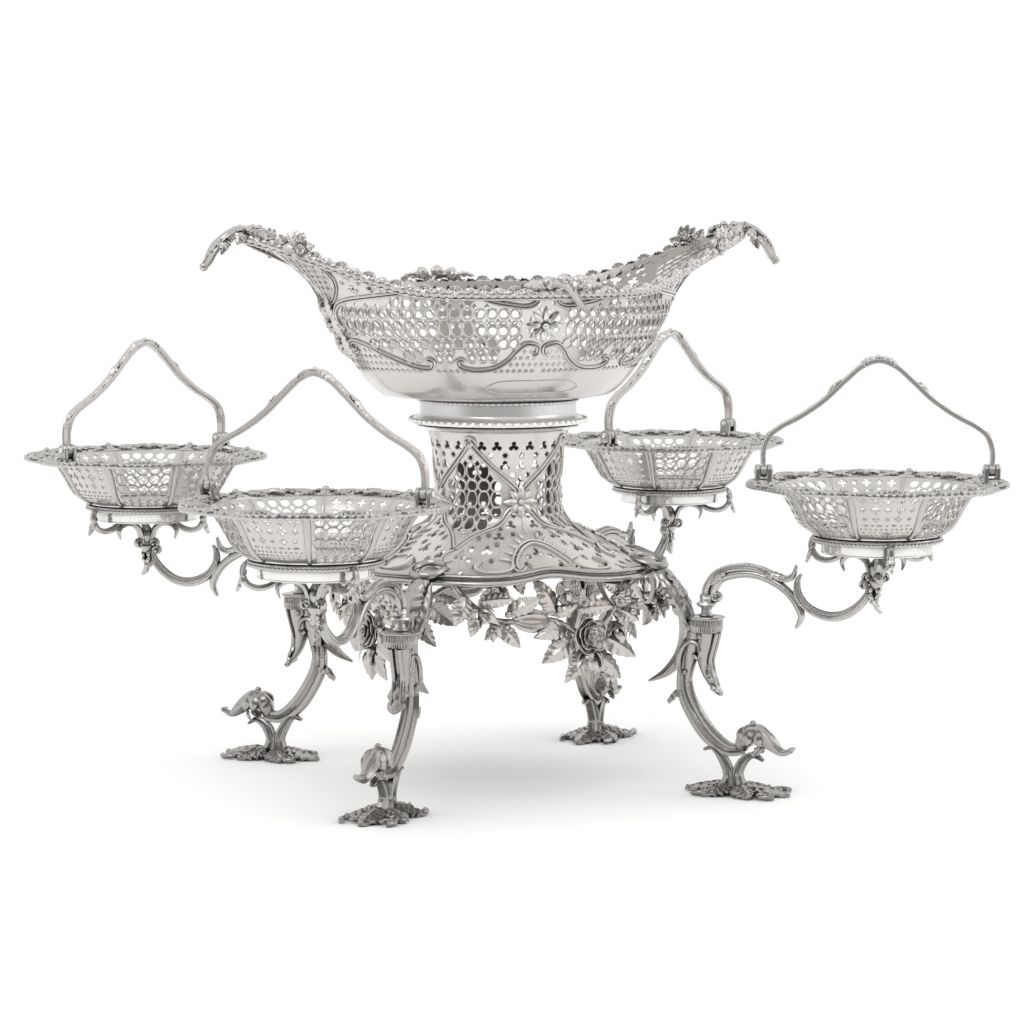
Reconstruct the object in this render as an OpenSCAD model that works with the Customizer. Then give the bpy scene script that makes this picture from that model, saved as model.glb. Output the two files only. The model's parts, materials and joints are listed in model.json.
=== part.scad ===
// Epergne: a pierced stem on four cast scroll legs, with a boat-shaped centre basket
// and four small handled baskets on plug-in branches.
// The origin is on the floor under the stem's axis. +Z is up, X runs along the centre basket, sizes in mm.

/* [Stem and skirt] */
// Height of the skirt's edge above the floor
skirt_z = 147; // [140:1:156]
// Rise of the skirt from its edge to the foot of the stem
skirt_rise = 21; // [17:1:25]
// Mean radius of the skirt's wavy edge
skirt_r = 107; // [102:1:112]
// How far the skirt swells at the four legs
skirt_corner = 5; // [2:0.5:7]
// Depth of the eight smaller waves of the skirt's edge
skirt_wave = 3; // [0:0.5:4]
// Height of the moulding round the skirt
moulding_h = 8; // [6:0.5:10]
// Width of the moulding round the skirt
moulding_w = 5; // [4:0.5:7]
// Height of the stem above the skirt
stem_h = 70; // [62:1:80]
// Outside radius of the stem where it rises from the skirt
stem_base_r = 48; // [46:0.5:52]
// Outside radius of the stem at its waist
stem_waist_r = 42; // [39:0.5:45]
// Outside radius of the stem at its top
stem_top_r = 48; // [46:0.5:50]
// Height of the waist above the skirt
stem_waist_h = 27; // [22:1:34]
// Thickness of the pierced sheet
sheet = 1.2; // [0.9:0.1:1.6]
// Piercings in each row round the stem
stem_holes = 18; // [14:1:20]
// Rows of piercings up the stem
stem_rows = 6; // [5:1:8]

/* [Collar] */
// Radius of the collar that carries the centre basket
collar_r = 55; // [53:0.5:58]
// Height of the collar
collar_h = 4.5; // [3:0.5:6]
// Height of the rim that keeps the centre basket in place
collar_lip_h = 3; // [2:0.5:4]

/* [Centre basket] */
// Radius of the gadrooned base of the foot
centre_base_r = 60.6; // [58:0.2:64]
// Height of the gadrooned base of the foot
centre_base_h = 4; // [3:0.5:5]
// Outside radius of the plain band above it
centre_band_r = 53; // [52:0.5:56]
// Height of the plain band
centre_band_h = 12; // [8:0.5:16]
// Half length of the bowl where it turns up from its base
bowl_base_a = 78; // [72:1:84]
// Half width of the bowl where it turns up from its base
bowl_base_b = 60; // [56:1:64]
// Height of the unpierced lower bowl
bowl_plain_h = 21; // [16:1:26]
// Half length of the bowl at the top of its body
bowl_body_a = 120; // [112:1:128]
// Half width of the bowl at the top of its body
bowl_body_b = 88.5; // [84:0.5:94]
// Height of the bowl's body
bowl_body_h = 59; // [52:1:66]
// Half width of the bowl at its rim
bowl_rim_b = 95; // [91:0.5:100]
// Height of the rim at the middle of each side
bowl_side_h = 75.5; // [70:0.5:82]
// How much higher the rim stands at the two ends
bowl_end_rise = 36; // [28:1:44]
// How far the ends are drawn out past the body
bowl_spout = 58; // [48:1:66]
// Thickness of the bowl
bowl_wall = 1.5; // [1.2:0.1:2]
// Half width of the cast border
border_w = 3.4; // [2.6:0.2:4.5]
// Radius of the applied rosettes
rosette_r = 12; // [9:0.5:14]

/* [Legs] */
// Distance of the sockets from the stem's axis
socket_r = 152; // [147:1:157]
// Height of the sockets' tops
socket_z = 118; // [112:1:124]
// Width of a socket block
socket_w = 20; // [18:0.5:23]
// Height of a socket block
socket_h = 11; // [9:0.5:14]
// Distance of the feet from the stem's axis
foot_r = 172; // [166:1:180]
// Height of the strut that stands on each foot
strut_h = 25; // [22:1:28]
// Half width of the legs' scrolls
leg_w = 5.5; // [4.5:0.25:6.5]
// Length of a foot pad
pad_len = 75; // [68:1:84]
// Width of a foot pad
pad_wid = 52; // [46:1:58]
// Height of a foot pad's leaves
pad_h = 3.2; // [2.4:0.2:5]

/* [Festoons] */
// How far the festoons hang below the skirt's edge
festoon_drop = 41; // [34:1:46]
// Half the span of a festoon
festoon_span = 60; // [56:1:64]
// Radius of the rose
rose_r = 13; // [10:0.5:15]

/* [Branches] */
// Radius of the pin that drops into the socket
pin_r = 4; // [3:0.25:5]
// Depth of the pin in its socket
pin_depth = 9; // [6:0.5:9.5]
// Running gap round the pin
pin_gap = 0.05; // [0.03:0.01:0.1]
// Height of the pin's flange above the socket
flange_h = 8; // [6:0.5:10]
// Reach of a branch from its pin to its basket's axis
branch_reach = 118; // [110:1:126]
// Rise of a branch from the socket's top to its knop
branch_rise = 32; // [28:1:38]
// Half width of a branch
arm_w = 4; // [3.2:0.2:4.8]
// Height of the basket ring's top above the knop
cradle_h = 27; // [25:0.5:31]
// Width of the bracket scrolls
bracket_w = 4.4; // [4:0.2:5]
// Width of the ring
ring_w = 6.5; // [5.5:0.5:7]
// Height of the ring
ring_h = 4.5; // [3.5:0.5:6]
// Gap between the ring and the basket's foot
ring_gap = 0.3; // [0.2:0.1:0.6]

/* [Small baskets] */
// Outside radius of a basket's foot band
dish_foot_r = 36; // [33:0.5:38]
// Height of the foot band
dish_foot_h = 11.5; // [9:0.5:12]
// Radius of the basket's base
dish_base_r = 41; // [40:0.5:43]
// Outside radius at the top of the wall
dish_mouth_r = 66; // [62:0.5:70]
// Height of the wall
dish_h = 30; // [26:0.5:36]
// Mean radius of the wavy rim
rim_r = 83; // [81:0.5:88]
// Depth of the rim's waves
rim_wave = 2; // [0:0.5:3]
// Thickness of the rim's flange
rim_t = 2; // [1.5:0.1:3]
// Width of the raised edge of the rim
rim_edge_w = 4; // [3:0.5:4.5]
// Height of the raised edge of the rim
rim_edge_h = 2.6; // [1.5:0.1:3.5]
// Width of the ribs over the seams of the wall
rib_w = 3; // [2:0.25:4]
// Distance of the bail's hinges from the basket's axis
hinge_r = 74; // [72:0.5:75]
// Height of the bail's hinge above the rim's flange
hinge_h = 9; // [8:0.5:12]
// Radius of the hinge knuckles
knuckle_r = 4; // [3.2:0.2:4.6]
// Radius of the hinge pins
hinge_pin_r = 1.6; // [1.2:0.1:2]
// Height of the bail above its hinge
bail_h = 71; // [62:1:76]
// Thickness of the bail's strap
bail_t = 3.2; // [2.4:0.2:3.6]
// Width of the bail's strap
bail_w = 9; // [7:0.5:9.5]

/* [Hidden] */
$fn = 64;
CORNERS = ["front_left", "front_right", "back_right", "back_left"];
SIDES = ["front", "right", "back", "left"];
corner_angle = [225, 315, 45, 135];
side_angle = [0, 90, 180, 270];
// How each branch is turned in its socket, and which way each bail lies
branch_turn = [0, 0, -9, 4];
bail_yaw = [-45, -20, 30, 28];

// Heights that follow from the driving sizes, from the skirt up
eps = 0.01;
stem_z = skirt_z + skirt_rise;
collar_z = stem_z + stem_h;
centre_z = collar_z + collar_h;
bowl_z = centre_z + centre_base_h + centre_band_h;
knop_z = socket_z + branch_rise;
ring_z = knop_z + cradle_h;
seat_gap = 0.05;
floor_z = ring_z + seat_gap;
wall_z = floor_z + sheet;
rim_z = wall_z + dish_h;
flange_z = rim_z + rim_t;
hinge_z = flange_z + hinge_h;
foot_gap = 0.4;
hinge_gap = 0.3;
fit_gap = 0.02;

// Points, curves and swept bars
function lerp(a, b, t) = a + (b - a) * t;
function unit(v) = v / norm(v);
function head3(p) = [p[0], p[1], p[2]];

// A smooth curve through the points, with so many steps between two of them
function curve_point(p, i, t) =
    let (a = p[max(i - 1, 0)], b = p[i], c = p[i + 1], d = p[min(i + 2, len(p) - 1)])
    0.5 * (2 * b + (c - a) * t + (2 * a - 5 * b + 4 * c - d) * t * t + (3 * b - a - 3 * c + d) * t * t * t);
function curve(p, steps) = concat(
    [for (i = [0 : len(p) - 2]) for (k = [0 : steps - 1]) curve_point(p, i, k / steps)],
    [p[len(p) - 1]]);

// Sections of a bar along a path of [x, y, z, half width, half thickness]; the width lies along side
function section(path, i, side, n, closed) =
    let (m = len(path),
         before = closed ? path[(i + m - 1) % m] : path[max(i - 1, 0)],
         after = closed ? path[(i + 1) % m] : path[min(i + 1, m - 1)],
         t = unit(head3(after) - head3(before)),
         w = unit(side - (side * t) * t),
         h = cross(t, w),
         p = path[i])
    [for (k = [0 : n - 1]) head3(p) + w * p[3] * sin(360 * k / n) + h * p[4] * cos(360 * k / n)];

module bar(path, side = [0, 1, 0], n = 8, closed = false) {
    m = len(path);
    points = [for (i = [0 : m - 1]) each section(path, i, side, n, closed)];
    spans = closed ? m : m - 1;
    skin = [for (i = [0 : spans - 1]) for (k = [0 : n - 1])
        let (a = i * n + k, b = i * n + (k + 1) % n, j = ((i + 1) % m) * n,
             c = j + (k + 1) % n, d = j + k)
        each [[a, b, c], [a, c, d]]];
    ends = closed ? [] : [[for (k = [n - 1 : -1 : 0]) k], [for (k = [0 : n - 1]) (m - 1) * n + k]];
    polyhedron(points, concat(skin, ends));
}

module convex(points) {
    hull() polyhedron(points, [[for (i = [0 : len(points) - 1]) i]]);
}

// A leaf from base to tip, with its broad side along face
module leaf(base, tip, face, width, thick) {
    side = unit(cross(tip - base, face)) * width / 2;
    back = unit(face) * thick / 2;
    mid = lerp(base, tip, 0.45);
    convex([base, tip, mid + side, mid - side, mid + back, mid - back]);
}

// A bud or berry from base to tip
module pod(base, tip, r) {
    axis = unit(tip - base);
    u = unit(cross(axis, abs(axis[2]) < 0.9 ? [0, 0, 1] : [1, 0, 0]));
    v = cross(axis, u);
    mid = lerp(base, tip, 0.5);
    convex(concat([base, tip], [for (k = [0 : 5]) mid + r * (u * cos(60 * k) + v * sin(60 * k))]));
}

// A rose with a ring of petals round a heart, which opens along face
module rose(centre, face, r) {
    out = unit(face);
    u = unit(cross(out, [0, 0, 1]));
    v = cross(out, u);
    petals = 6;
    for (k = [0 : petals - 1]) {
        a = 360 * k / petals;
        way = u * cos(a) + v * sin(a);
        leaf(centre + way * 0.25 * r, centre + way * r + out * 0.2 * r, out, 0.95 * r, 0.5 * r);
    }
    pod(centre - out * 0.4 * r, centre + out * 0.65 * r, 0.6 * r);
}

// Skirt: a flared pierced cone cut to a wavy edge
function edge_r(a) = skirt_r + skirt_corner * cos(4 * (a - 45)) - skirt_wave * cos(8 * (a - 45));
edge_steps = 72;
function edge(grow) = [for (k = [0 : edge_steps - 1])
    let (a = 360 * k / edge_steps) (edge_r(a) + grow) * [cos(a), sin(a)]];
skirt_stops = [0, 0.17, 0.42, 0.7, 1];
skirt_out_r = skirt_r + skirt_corner + skirt_wave + 2;
function skirt_point(s) = [lerp(stem_base_r, skirt_out_r, s), skirt_z + skirt_rise * pow(1 - s, 1.5)];
skirt_holes = 20;

// Piercings, drawn at the origin and driven along X
module lozenge(w, h, depth) {
    rotate([90, 0, 90])
        linear_extrude(height = depth, center = true)
            polygon([[w / 2, 0], [0, h / 2], [-w / 2, 0], [0, -h / 2]]);
}

module round_hole(r, depth) {
    rotate([0, 90, 0]) cylinder(r = r, h = depth, center = true, $fn = 6);
}

module foil(lobes, r, depth) {
    rotate([90, 0, 90])
        linear_extrude(height = depth, center = true)
            polygon([for (k = [0 : 2 * lobes - 1])
                r * (k % 2 == 0 ? 1 : 0.45) * [sin(180 * k / lobes), cos(180 * k / lobes)]]);
}

// Puts a piercing on the slant wall between two points of a profile, part of the way up
module on_wall(low, high, share, a) {
    p = lerp(low, high, share);
    tilt = atan2(high[0] - low[0], high[1] - low[1]);
    rotate([0, 0, a]) translate([p[0], 0, p[1]]) rotate([0, tilt, 0]) children();
}

module sheet_of_revolution(profile) {
    inner = [for (k = [len(profile) - 1 : -1 : 0]) profile[k] - [sheet, 0]];
    rotate_extrude() polygon(concat(profile, inner));
}

pierce_depth = 6;
module skirt() {
    profile = [for (s = skirt_stops) skirt_point(s)];
    drop = [0, sheet];
    color("silver")
    difference() {
        intersection() {
            rotate_extrude()
                polygon(concat(profile, [for (k = [len(profile) - 1 : -1 : 0]) profile[k] - drop]));
            translate([0, 0, skirt_z - moulding_h])
                linear_extrude(height = skirt_rise + 2 * moulding_h) polygon(edge(0));
        }
        for (row = [0 : 2])
            for (k = [0 : skirt_holes - 1])
                on_wall(profile[row + 1], profile[row], 0.5, 360 * (k + 0.5 * (row % 2)) / skirt_holes)
                    if (row == 0) round_hole(2.4, pierce_depth);
                    else if (k % 2 == 0) foil(3, 4, pierce_depth);
                    else lozenge(5, 7, pierce_depth);
    }
}

module skirt_moulding() {
    layers = [[0, 0.6], [0.3, 1], [0.7, 0.7]];
    color("silver")
    for (k = [0 : 2]) {
        low = skirt_z - moulding_h / 2 + moulding_h * layers[k][0];
        top = k == 2 ? skirt_z + moulding_h / 2 : skirt_z - moulding_h / 2 + moulding_h * layers[k + 1][0];
        translate([0, 0, low])
            linear_extrude(height = top - low)
                difference() {
                    polygon(edge(moulding_w * layers[k][1]));
                    polygon(edge(0));
                }
    }
}

// Stem: a waisted pierced tube, each row of piercings on its own band of the wall
function stem_r(h) = h < stem_waist_h
    ? stem_waist_r + (stem_base_r - stem_waist_r) * pow(1 - h / stem_waist_h, 2.2)
    : stem_waist_r + (stem_top_r - stem_waist_r) * pow((h - stem_waist_h) / (stem_h - stem_waist_h), 2.5);
stem_margin_low = 3;
stem_margin_top = 8;
stem_row_h = (stem_h - stem_margin_low - stem_margin_top) / stem_rows;
stem_levels = concat([0], [for (k = [0 : stem_rows]) stem_margin_low + k * stem_row_h], [stem_h]);

module stem() {
    profile = [for (h = stem_levels) [stem_r(h), stem_z + h]];
    color("silver")
    difference() {
        sheet_of_revolution(profile);
        for (row = [0 : stem_rows - 1])
            for (k = [0 : stem_holes - 1])
                on_wall(profile[row + 1], profile[row + 2], 0.5, 360 * (k + 0.5 * (row % 2)) / stem_holes)
                    if (row == stem_rows - 1) foil(3, 0.42 * stem_row_h, pierce_depth);
                    else if (row % 2 == 0) lozenge(7.5, 0.86 * stem_row_h, pierce_depth);
                    else round_hole(0.4 * stem_row_h, pierce_depth);
    }
}

lip_r = stem_top_r - 1;
module stem_collar() {
    color("silver")
    translate([0, 0, collar_z])
        rotate_extrude()
            polygon([[lip_r - 6, 0], [stem_top_r + 1, 0], [collar_r, 1.5], [collar_r, collar_h],
                     [lip_r, collar_h], [lip_r, collar_h + collar_lip_h],
                     [lip_r - 1.5, collar_h + collar_lip_h], [lip_r - 1.5, collar_h], [lip_r - 6, collar_h]]);
}

// Sockets: fluted blocks with canted corners, each bored for a branch's pin
socket_cant = 4;
socket_lip_h = 2;
socket_lip = 0.8;
flute_r = 1.1;
flutes = 4;
socket_y = socket_z - socket_h;
function canted(w) = let (h = w / 2, c = h - socket_cant)
    [[h, c], [c, h], [-c, h], [-h, c], [-h, -c], [-c, -h], [c, -h], [h, -c]];

module socket_block() {
    flat = socket_w - 2 * socket_cant;
    difference() {
        union() {
            linear_extrude(height = socket_h) polygon(canted(socket_w));
            translate([0, 0, socket_h - socket_lip_h])
                linear_extrude(height = socket_lip_h) polygon(canted(socket_w + 2 * socket_lip));
        }
        for (side = [0 : 3])
            rotate([0, 0, 90 * side])
                for (k = [0 : flutes - 1])
                    translate([socket_w / 2, flat * ((k + 0.5) / flutes - 0.5), -eps])
                        cylinder(r = flute_r, h = socket_h - socket_lip_h, $fn = 8);
        translate([0, 0, socket_h - pin_depth]) cylinder(r = pin_r + pin_gap, h = pin_depth + 1);
    }
}

module sockets() {
    color("silver")
    for (a = corner_angle)
        rotate([0, 0, a]) translate([socket_r, 0, socket_y]) socket_block();
}

// Legs: two scrolls, a leaf-wrapped body under the socket, a hooded head and a forked strut
block_in = socket_r - socket_w / 2;
corner_r = edge_r(45) + moulding_w;
scroll_t = 5;
lower_z = socket_z - 36;

function upper_scroll() = [
    [corner_r + scroll_t - 1, 0, skirt_z + 4, leg_w - 1, scroll_t - 1],
    [lerp(corner_r, block_in, 0.5), 0, lerp(skirt_z, socket_z, 0.5), leg_w + 1, scroll_t + 0.5],
    [block_in - scroll_t, 0, socket_z + 2, leg_w + 1, scroll_t + 0.5],
    [block_in - scroll_t + 1, 0, socket_z - 13, leg_w, scroll_t],
    [block_in - scroll_t - 3, 0, socket_z - 27, leg_w - 0.5, scroll_t - 0.5],
    [block_in - scroll_t - 13, 0, socket_z - 39, leg_w - 1.5, scroll_t - 1],
    [block_in - scroll_t - 26, 0, socket_z - 46, 1, 0.8]];

function lower_scroll() = [
    [block_in - 5, 0, lower_z + 8, leg_w - 1, scroll_t - 1],
    [block_in - 5, 0, lower_z - 14, leg_w + 0.5, scroll_t],
    [lerp(block_in, foot_r, 0.05), 0, lerp(lower_z, strut_h, 0.5), leg_w + 0.5, scroll_t],
    [lerp(block_in, foot_r, 0.4), 0, strut_h + 14, leg_w + 0.5, scroll_t],
    [foot_r - 4, 0, strut_h + 4, leg_w, scroll_t - 0.5],
    [foot_r + 7, 0, strut_h + 5, leg_w - 0.5, scroll_t - 1]];

function hood() = [
    [foot_r + 6, 0, strut_h + 6, 6, 5],
    [foot_r + 10, 0, strut_h + 13, 9, 7],
    [foot_r + 17, 0, strut_h + 16, 9.5, 7],
    [foot_r + 24, 0, strut_h + 12, 7.5, 5.5],
    [foot_r + 30, 0, strut_h + 7, 4.5, 3.5],
    [foot_r + 38, 0, strut_h + 4.5, 4, 2.6],
    [foot_r + 41, 0, strut_h + 6, 3, 1.6]];

function strut(way) = [
    [foot_r + way * 20, 0, strut_h + (way < 0 ? 5 : 0), 1.6, 1],
    [foot_r + way * 13, 0, strut_h + (way < 0 ? 6 : 3), 4, 2.4],
    [foot_r + way * 6.5, 0, strut_h - 3, 4.6, 2.8],
    [foot_r + way * 2.4, 0, strut_h - 11, 4.8, 3],
    [foot_r + way * 4, 0, pad_h, 6, 4]];

module leg(i) {
    color("silver")
    rotate([0, 0, corner_angle[i]]) {
        bar(curve(upper_scroll(), 2), n = 6);
        bar(curve(lower_scroll(), 2), n = 6);
        bar(hood(), n = 6);
        for (way = [-1, 1]) bar(strut(way), n = 6);
        loop = [for (k = [0 : 9]) [corner_r - 4 + 11 * cos(36 * k), 10 * sin(36 * k),
                                   skirt_z + 6 - 3 * cos(36 * k), 2, 2.2]];
        bar(loop, side = [0, 0, 1], n = 4, closed = true);
        // The body that tapers from the socket down to the lower scroll
        hull() {
            translate([socket_r, 0, socket_y - 1])
                linear_extrude(height = 1) polygon(canted(socket_w - 4));
            translate([socket_r - 2, 0, socket_y - 10]) cube([10, 10, 1], center = true);
        }
        hull() {
            translate([socket_r - 2, 0, socket_y - 10]) cube([10, 10, 1], center = true);
            translate([block_in - 3, 0, lower_z - 4]) cube([8, 8, 1], center = true);
        }
        // Leaves that wrap the body, with the tips free
        body_foot = [socket_r + 9, 0, lower_z - 15];
        leaf([socket_r - 1, 0, socket_y - 4], body_foot, [1, 0, 0.2], 15, 6);
        for (way = [-1, 1]) {
            leaf([socket_r - 3, way * 4, socket_y - 2], body_foot + [-8, way * 7, 9], [0, way, 0], 12, 4);
            leaf([corner_r + 2, way * 3, skirt_z - 2], [block_in + 1, way * 4, socket_z + 1], [0.4, way, 0.4], 11, 4);
        }
        // Spurs on the scrolls, a crest on the hood and two ears beside it
        leaf([block_in - 4, 0, lower_z - 22], [block_in - 17, 0, lower_z - 22], [0, 0, 1], 8, 5);
        leaf([foot_r + 12, 0, strut_h + 18], [foot_r + 21, 0, strut_h + 23], [0, 0, 1], 7, 5);
        for (way = [-1, 1])
            leaf([foot_r + 8, way * 4, strut_h + 14], [foot_r + 14, way * 11, strut_h + 7], [0.5, way, 1], 9, 4);
    }
}

// Foot pads: leafy openwork, flat underneath
pad_x = foot_r + 5;
module foot_pad() {
    end_r = pad_wid / 5;
    difference() {
        union() {
            for (way = [-1, 1]) {
                translate([way * (pad_len / 2 - end_r), 0, 0]) cylinder(r = end_r, h = pad_h);
                translate([way * pad_len / 6, 0, 0]) cylinder(r = pad_wid / 4, h = pad_h);
                translate([0, way * (pad_wid / 2 - end_r), 0]) cylinder(r = end_r, h = pad_h);
                for (turn = [-1, 1])
                    translate([way * pad_len / 4, turn * pad_wid / 4, 0]) cylinder(r = end_r * 0.8, h = pad_h);
            }
        }
        for (way = [-1, 1]) {
            translate([way * (pad_len / 2 - end_r), 0, -1]) cylinder(r = end_r * 0.4, h = pad_h + 2);
            for (turn = [-1, 1])
                translate([way * pad_len / 4, turn * pad_wid / 4, -1]) cylinder(r = end_r * 0.35, h = pad_h + 2);
        }
    }
}

module foot_pads() {
    color("silver")
    for (a = corner_angle)
        rotate([0, 0, a]) translate([pad_x, 0, 0]) foot_pad();
}

// Festoons: a stalk with a ribbed gourd, a rose, buds and leaves, hung below the skirt
hang_z = skirt_z - moulding_h / 2;
hang_v = -edge_r(270) + 2;
function hung(u, v, drop) = [u, hang_v + v, hang_z - drop];
function stalk_point(u, v, drop, r) = concat(hung(u, v, drop), [r, r]);

function stalk(span, low) = curve([
    stalk_point(-span, 7, -2, 2.6), stalk_point(-0.8 * span, 3, 0.35 * low, 2.6),
    stalk_point(-0.5 * span, 1, 0.58 * low, 2.4), stalk_point(-0.2 * span, 0, 0.62 * low, 2.4),
    stalk_point(0.15 * span, 0, 0.72 * low, 2.4), stalk_point(0.43 * span, -1, 0.85 * low, 2.6),
    stalk_point(0.7 * span, 1, 0.62 * low, 2.4), stalk_point(0.85 * span, 5, 0.25 * low, 2.6),
    stalk_point(0.9 * span, 8, -2, 2.6)], 2);
gourd_swell = [0.8, 2.5, 3.1, 2.5, 0.8];
rose_knot = 10;
gourd_knot = 4;

module festoon(i) {
    line = stalk(festoon_span, festoon_drop);
    function knot(k) = head3(line[k]);
    rose_at = knot(rose_knot) + [0, -2, 0];
    color("silver")
    rotate([0, 0, side_angle[i]]) {
        bar(line, n = 4);
        gourd = [for (k = [0 : 4])
            let (r = gourd_swell[k] * line[gourd_knot + k][3]) concat(knot(gourd_knot + k), [r, r])];
        bar(gourd, n = 6);
        rose(rose_at, [0.15, -1, 0.1], rose_r);
        // Leaves on the stalk: the knot each grows from, its reach along and down, and its width
        for (l = [[1, 26, 2, 10], [2, -5, 22, 11], [4, 12, 17, 11], [7, -13, -24, 12], [8, 10, -25, 13],
                  [9, -17, 17, 14], [12, 22, 18, 13], [14, -18, 5, 10]])
            leaf(knot(l[0]), knot(l[0]) + [l[1], -5, -l[2]], [0.1, -1, 0.3], l[3], 3.4);
        // Buds along the stalk, and the pendant bud with its two leaves
        for (k = [3, 13, 14])
            pod(knot(k), knot(k) + [2 + k / 3, -6, -9], 4);
        drop = rose_at + [0, 0, -0.5 * rose_r];
        pod(drop, drop + [0, -1, -24], 7);
        leaf(drop, drop + [-15, -1, -20], [0, -1, 0.2], 9, 3);
        leaf(drop, drop + [20, -1, -18], [0, -1, 0.2], 10, 3);
    }
}

// Centre basket: an oval bowl whose ends are drawn up and out, pierced with a trellis
bowl_n = 22;
bowl_lip = 3;
bowl_pierced = [2, 3, 4, 5];
function bowl_body(t) = [lerp(bowl_base_a, bowl_body_a, pow(t, 0.7)), lerp(bowl_base_b, bowl_body_b, pow(t, 0.7))];
function oval(u, size, z) = [size[0] * cos(u), size[1] * sin(u), z];
function bowl_rim(u) = [
    (bowl_body_a + bowl_spout * pow(abs(cos(u)), 11)) * cos(u),
    bowl_rim_b * sin(u),
    bowl_z + bowl_side_h + bowl_end_rise * pow(abs(cos(u)), 8)];
function bowl_flare(u, w, inset) =
    let (low = oval(u, bowl_body(1) - inset, bowl_z + bowl_body_h), top = bowl_rim(u) - oval(u, inset, 0))
    [lerp(low[0], top[0], pow(w, 1.35)), lerp(low[1], top[1], w), lerp(low[2], top[2], pow(w, 0.8))];
function body_share(h) = h / bowl_body_h;
bowl_mid_h = lerp(bowl_plain_h, bowl_body_h, 0.5);

// Level 0 is the base, 1 the turn of the base, 2 to 4 the body and 5 and 6 the drawn-out flare
function bowl_point(level, u, inside) =
    let (in = inside ? bowl_wall : 0, inset = [in, in], foot = centre_band_r + 0.5)
    level == 0 ? oval(u, [foot, foot] - inset, bowl_z + in) :
    level == 1 ? oval(u, bowl_body(0) - inset, bowl_z + bowl_lip + in) :
    level == 2 ? oval(u, bowl_body(body_share(bowl_plain_h)) - inset, bowl_z + bowl_plain_h + 0.3 * in) :
    level == 3 ? oval(u, bowl_body(body_share(bowl_mid_h)) - inset, bowl_z + bowl_mid_h + 0.3 * in) :
    level == 4 ? oval(u, bowl_body(1) - inset, bowl_z + bowl_body_h) :
    level == 5 ? bowl_flare(u, 0.5, inset) : bowl_flare(u, 1, inset);

bowl_levels = 7;
window_share = 0.72;

module centre_bowl() {
    n = bowl_n;
    grid = bowl_levels * n;
    rows = [for (j = [0 : bowl_levels - 2]) let (k = search(j, bowl_pierced)) len(k) > 0 ? k[0] : -1];
    windows = len(bowl_pierced) * n * 4;
    walls = [for (inside = [false, true]) for (j = [0 : bowl_levels - 1]) for (i = [0 : n - 1])
        bowl_point(j, 360 * i / n, inside)];
    // Each window is a lozenge that joins the middles of its cell's sides
    lozenges = [for (side = [0, 1]) for (j = bowl_pierced) for (i = [0 : n - 1])
        let (c = [for (d = [[0, 0], [0, 1], [1, 1], [1, 0]])
                 walls[side * grid + (j + d[0]) * n + (i + d[1]) % n]],
             mid = (c[0] + c[1] + c[2] + c[3]) / 4)
        each [for (k = [0 : 3]) lerp(mid, (c[k] + c[(k + 1) % 4]) / 2, window_share)]];
    poles = [[0, 0, bowl_z], [0, 0, bowl_z + bowl_wall]];
    first_window = 2 * grid;
    first_pole = first_window + 2 * windows;
    function turn(side, f) = side == 0 ? f : [f[2], f[1], f[0]];
    skin = [for (side = [0, 1]) for (j = [0 : bowl_levels - 2]) for (i = [0 : n - 1])
        let (c = [for (d = [[0, 0], [0, 1], [1, 1], [1, 0]]) side * grid + (j + d[0]) * n + (i + d[1]) % n],
             w = first_window + side * windows + (rows[j] * n + i) * 4)
        each rows[j] < 0
            ? [turn(side, [c[0], c[2], c[1]]), turn(side, [c[0], c[3], c[2]])]
            : [for (k = [0 : 3]) each [turn(side, [c[k], w + k, c[(k + 1) % 4]]),
                                       turn(side, [c[k], w + (k + 3) % 4, w + k])]]];
    reveals = [for (q = [0 : len(bowl_pierced) * n - 1]) for (k = [0 : 3])
        let (a = first_window + q * 4 + k, b = first_window + q * 4 + (k + 1) % 4)
        each [[a, a + windows, b], [b, a + windows, b + windows]]];
    top = (bowl_levels - 1) * n;
    rim = [for (i = [0 : n - 1]) let (a = top + i, b = top + (i + 1) % n)
        each [[a, b + grid, b], [a, a + grid, b + grid]]];
    base = [for (side = [0, 1]) for (i = [0 : n - 1])
        turn(side, [first_pole + side, side * grid + i, side * grid + (i + 1) % n])];
    color("silver")
    polyhedron(concat(walls, lozenges, poles), concat(skin, reveals, rim, base));
}

border_n = 54;
border_waves = 18;
module centre_border() {
    path = [for (k = [0 : border_n - 1])
        let (u = 360 * k / border_n, p = bowl_rim(u), swell = 1 + 0.18 * cos(border_waves * u))
        [p[0] + cos(u), p[1] + sin(u), p[2] + 0.5, border_w * swell, 0.8 * border_w * swell]];
    color("silver") bar(path, side = [0, 0, 1], n = 5, closed = true);
}

module centre_foot() {
    inner = lip_r + foot_gap;
    band_in = centre_band_r - bowl_wall;
    color("silver")
    translate([0, 0, centre_z])
        rotate_extrude()
            polygon([[inner, 0], [centre_base_r - 1, 0], [centre_base_r, centre_base_h * 0.3],
                     [centre_base_r - 1.2, centre_base_h * 0.8], [centre_band_r, centre_base_h],
                     [centre_band_r, centre_base_h + centre_band_h], [band_in, centre_base_h + centre_band_h],
                     [band_in, centre_base_h * 0.8], [inner, centre_base_h * 0.8]]);
}

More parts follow.
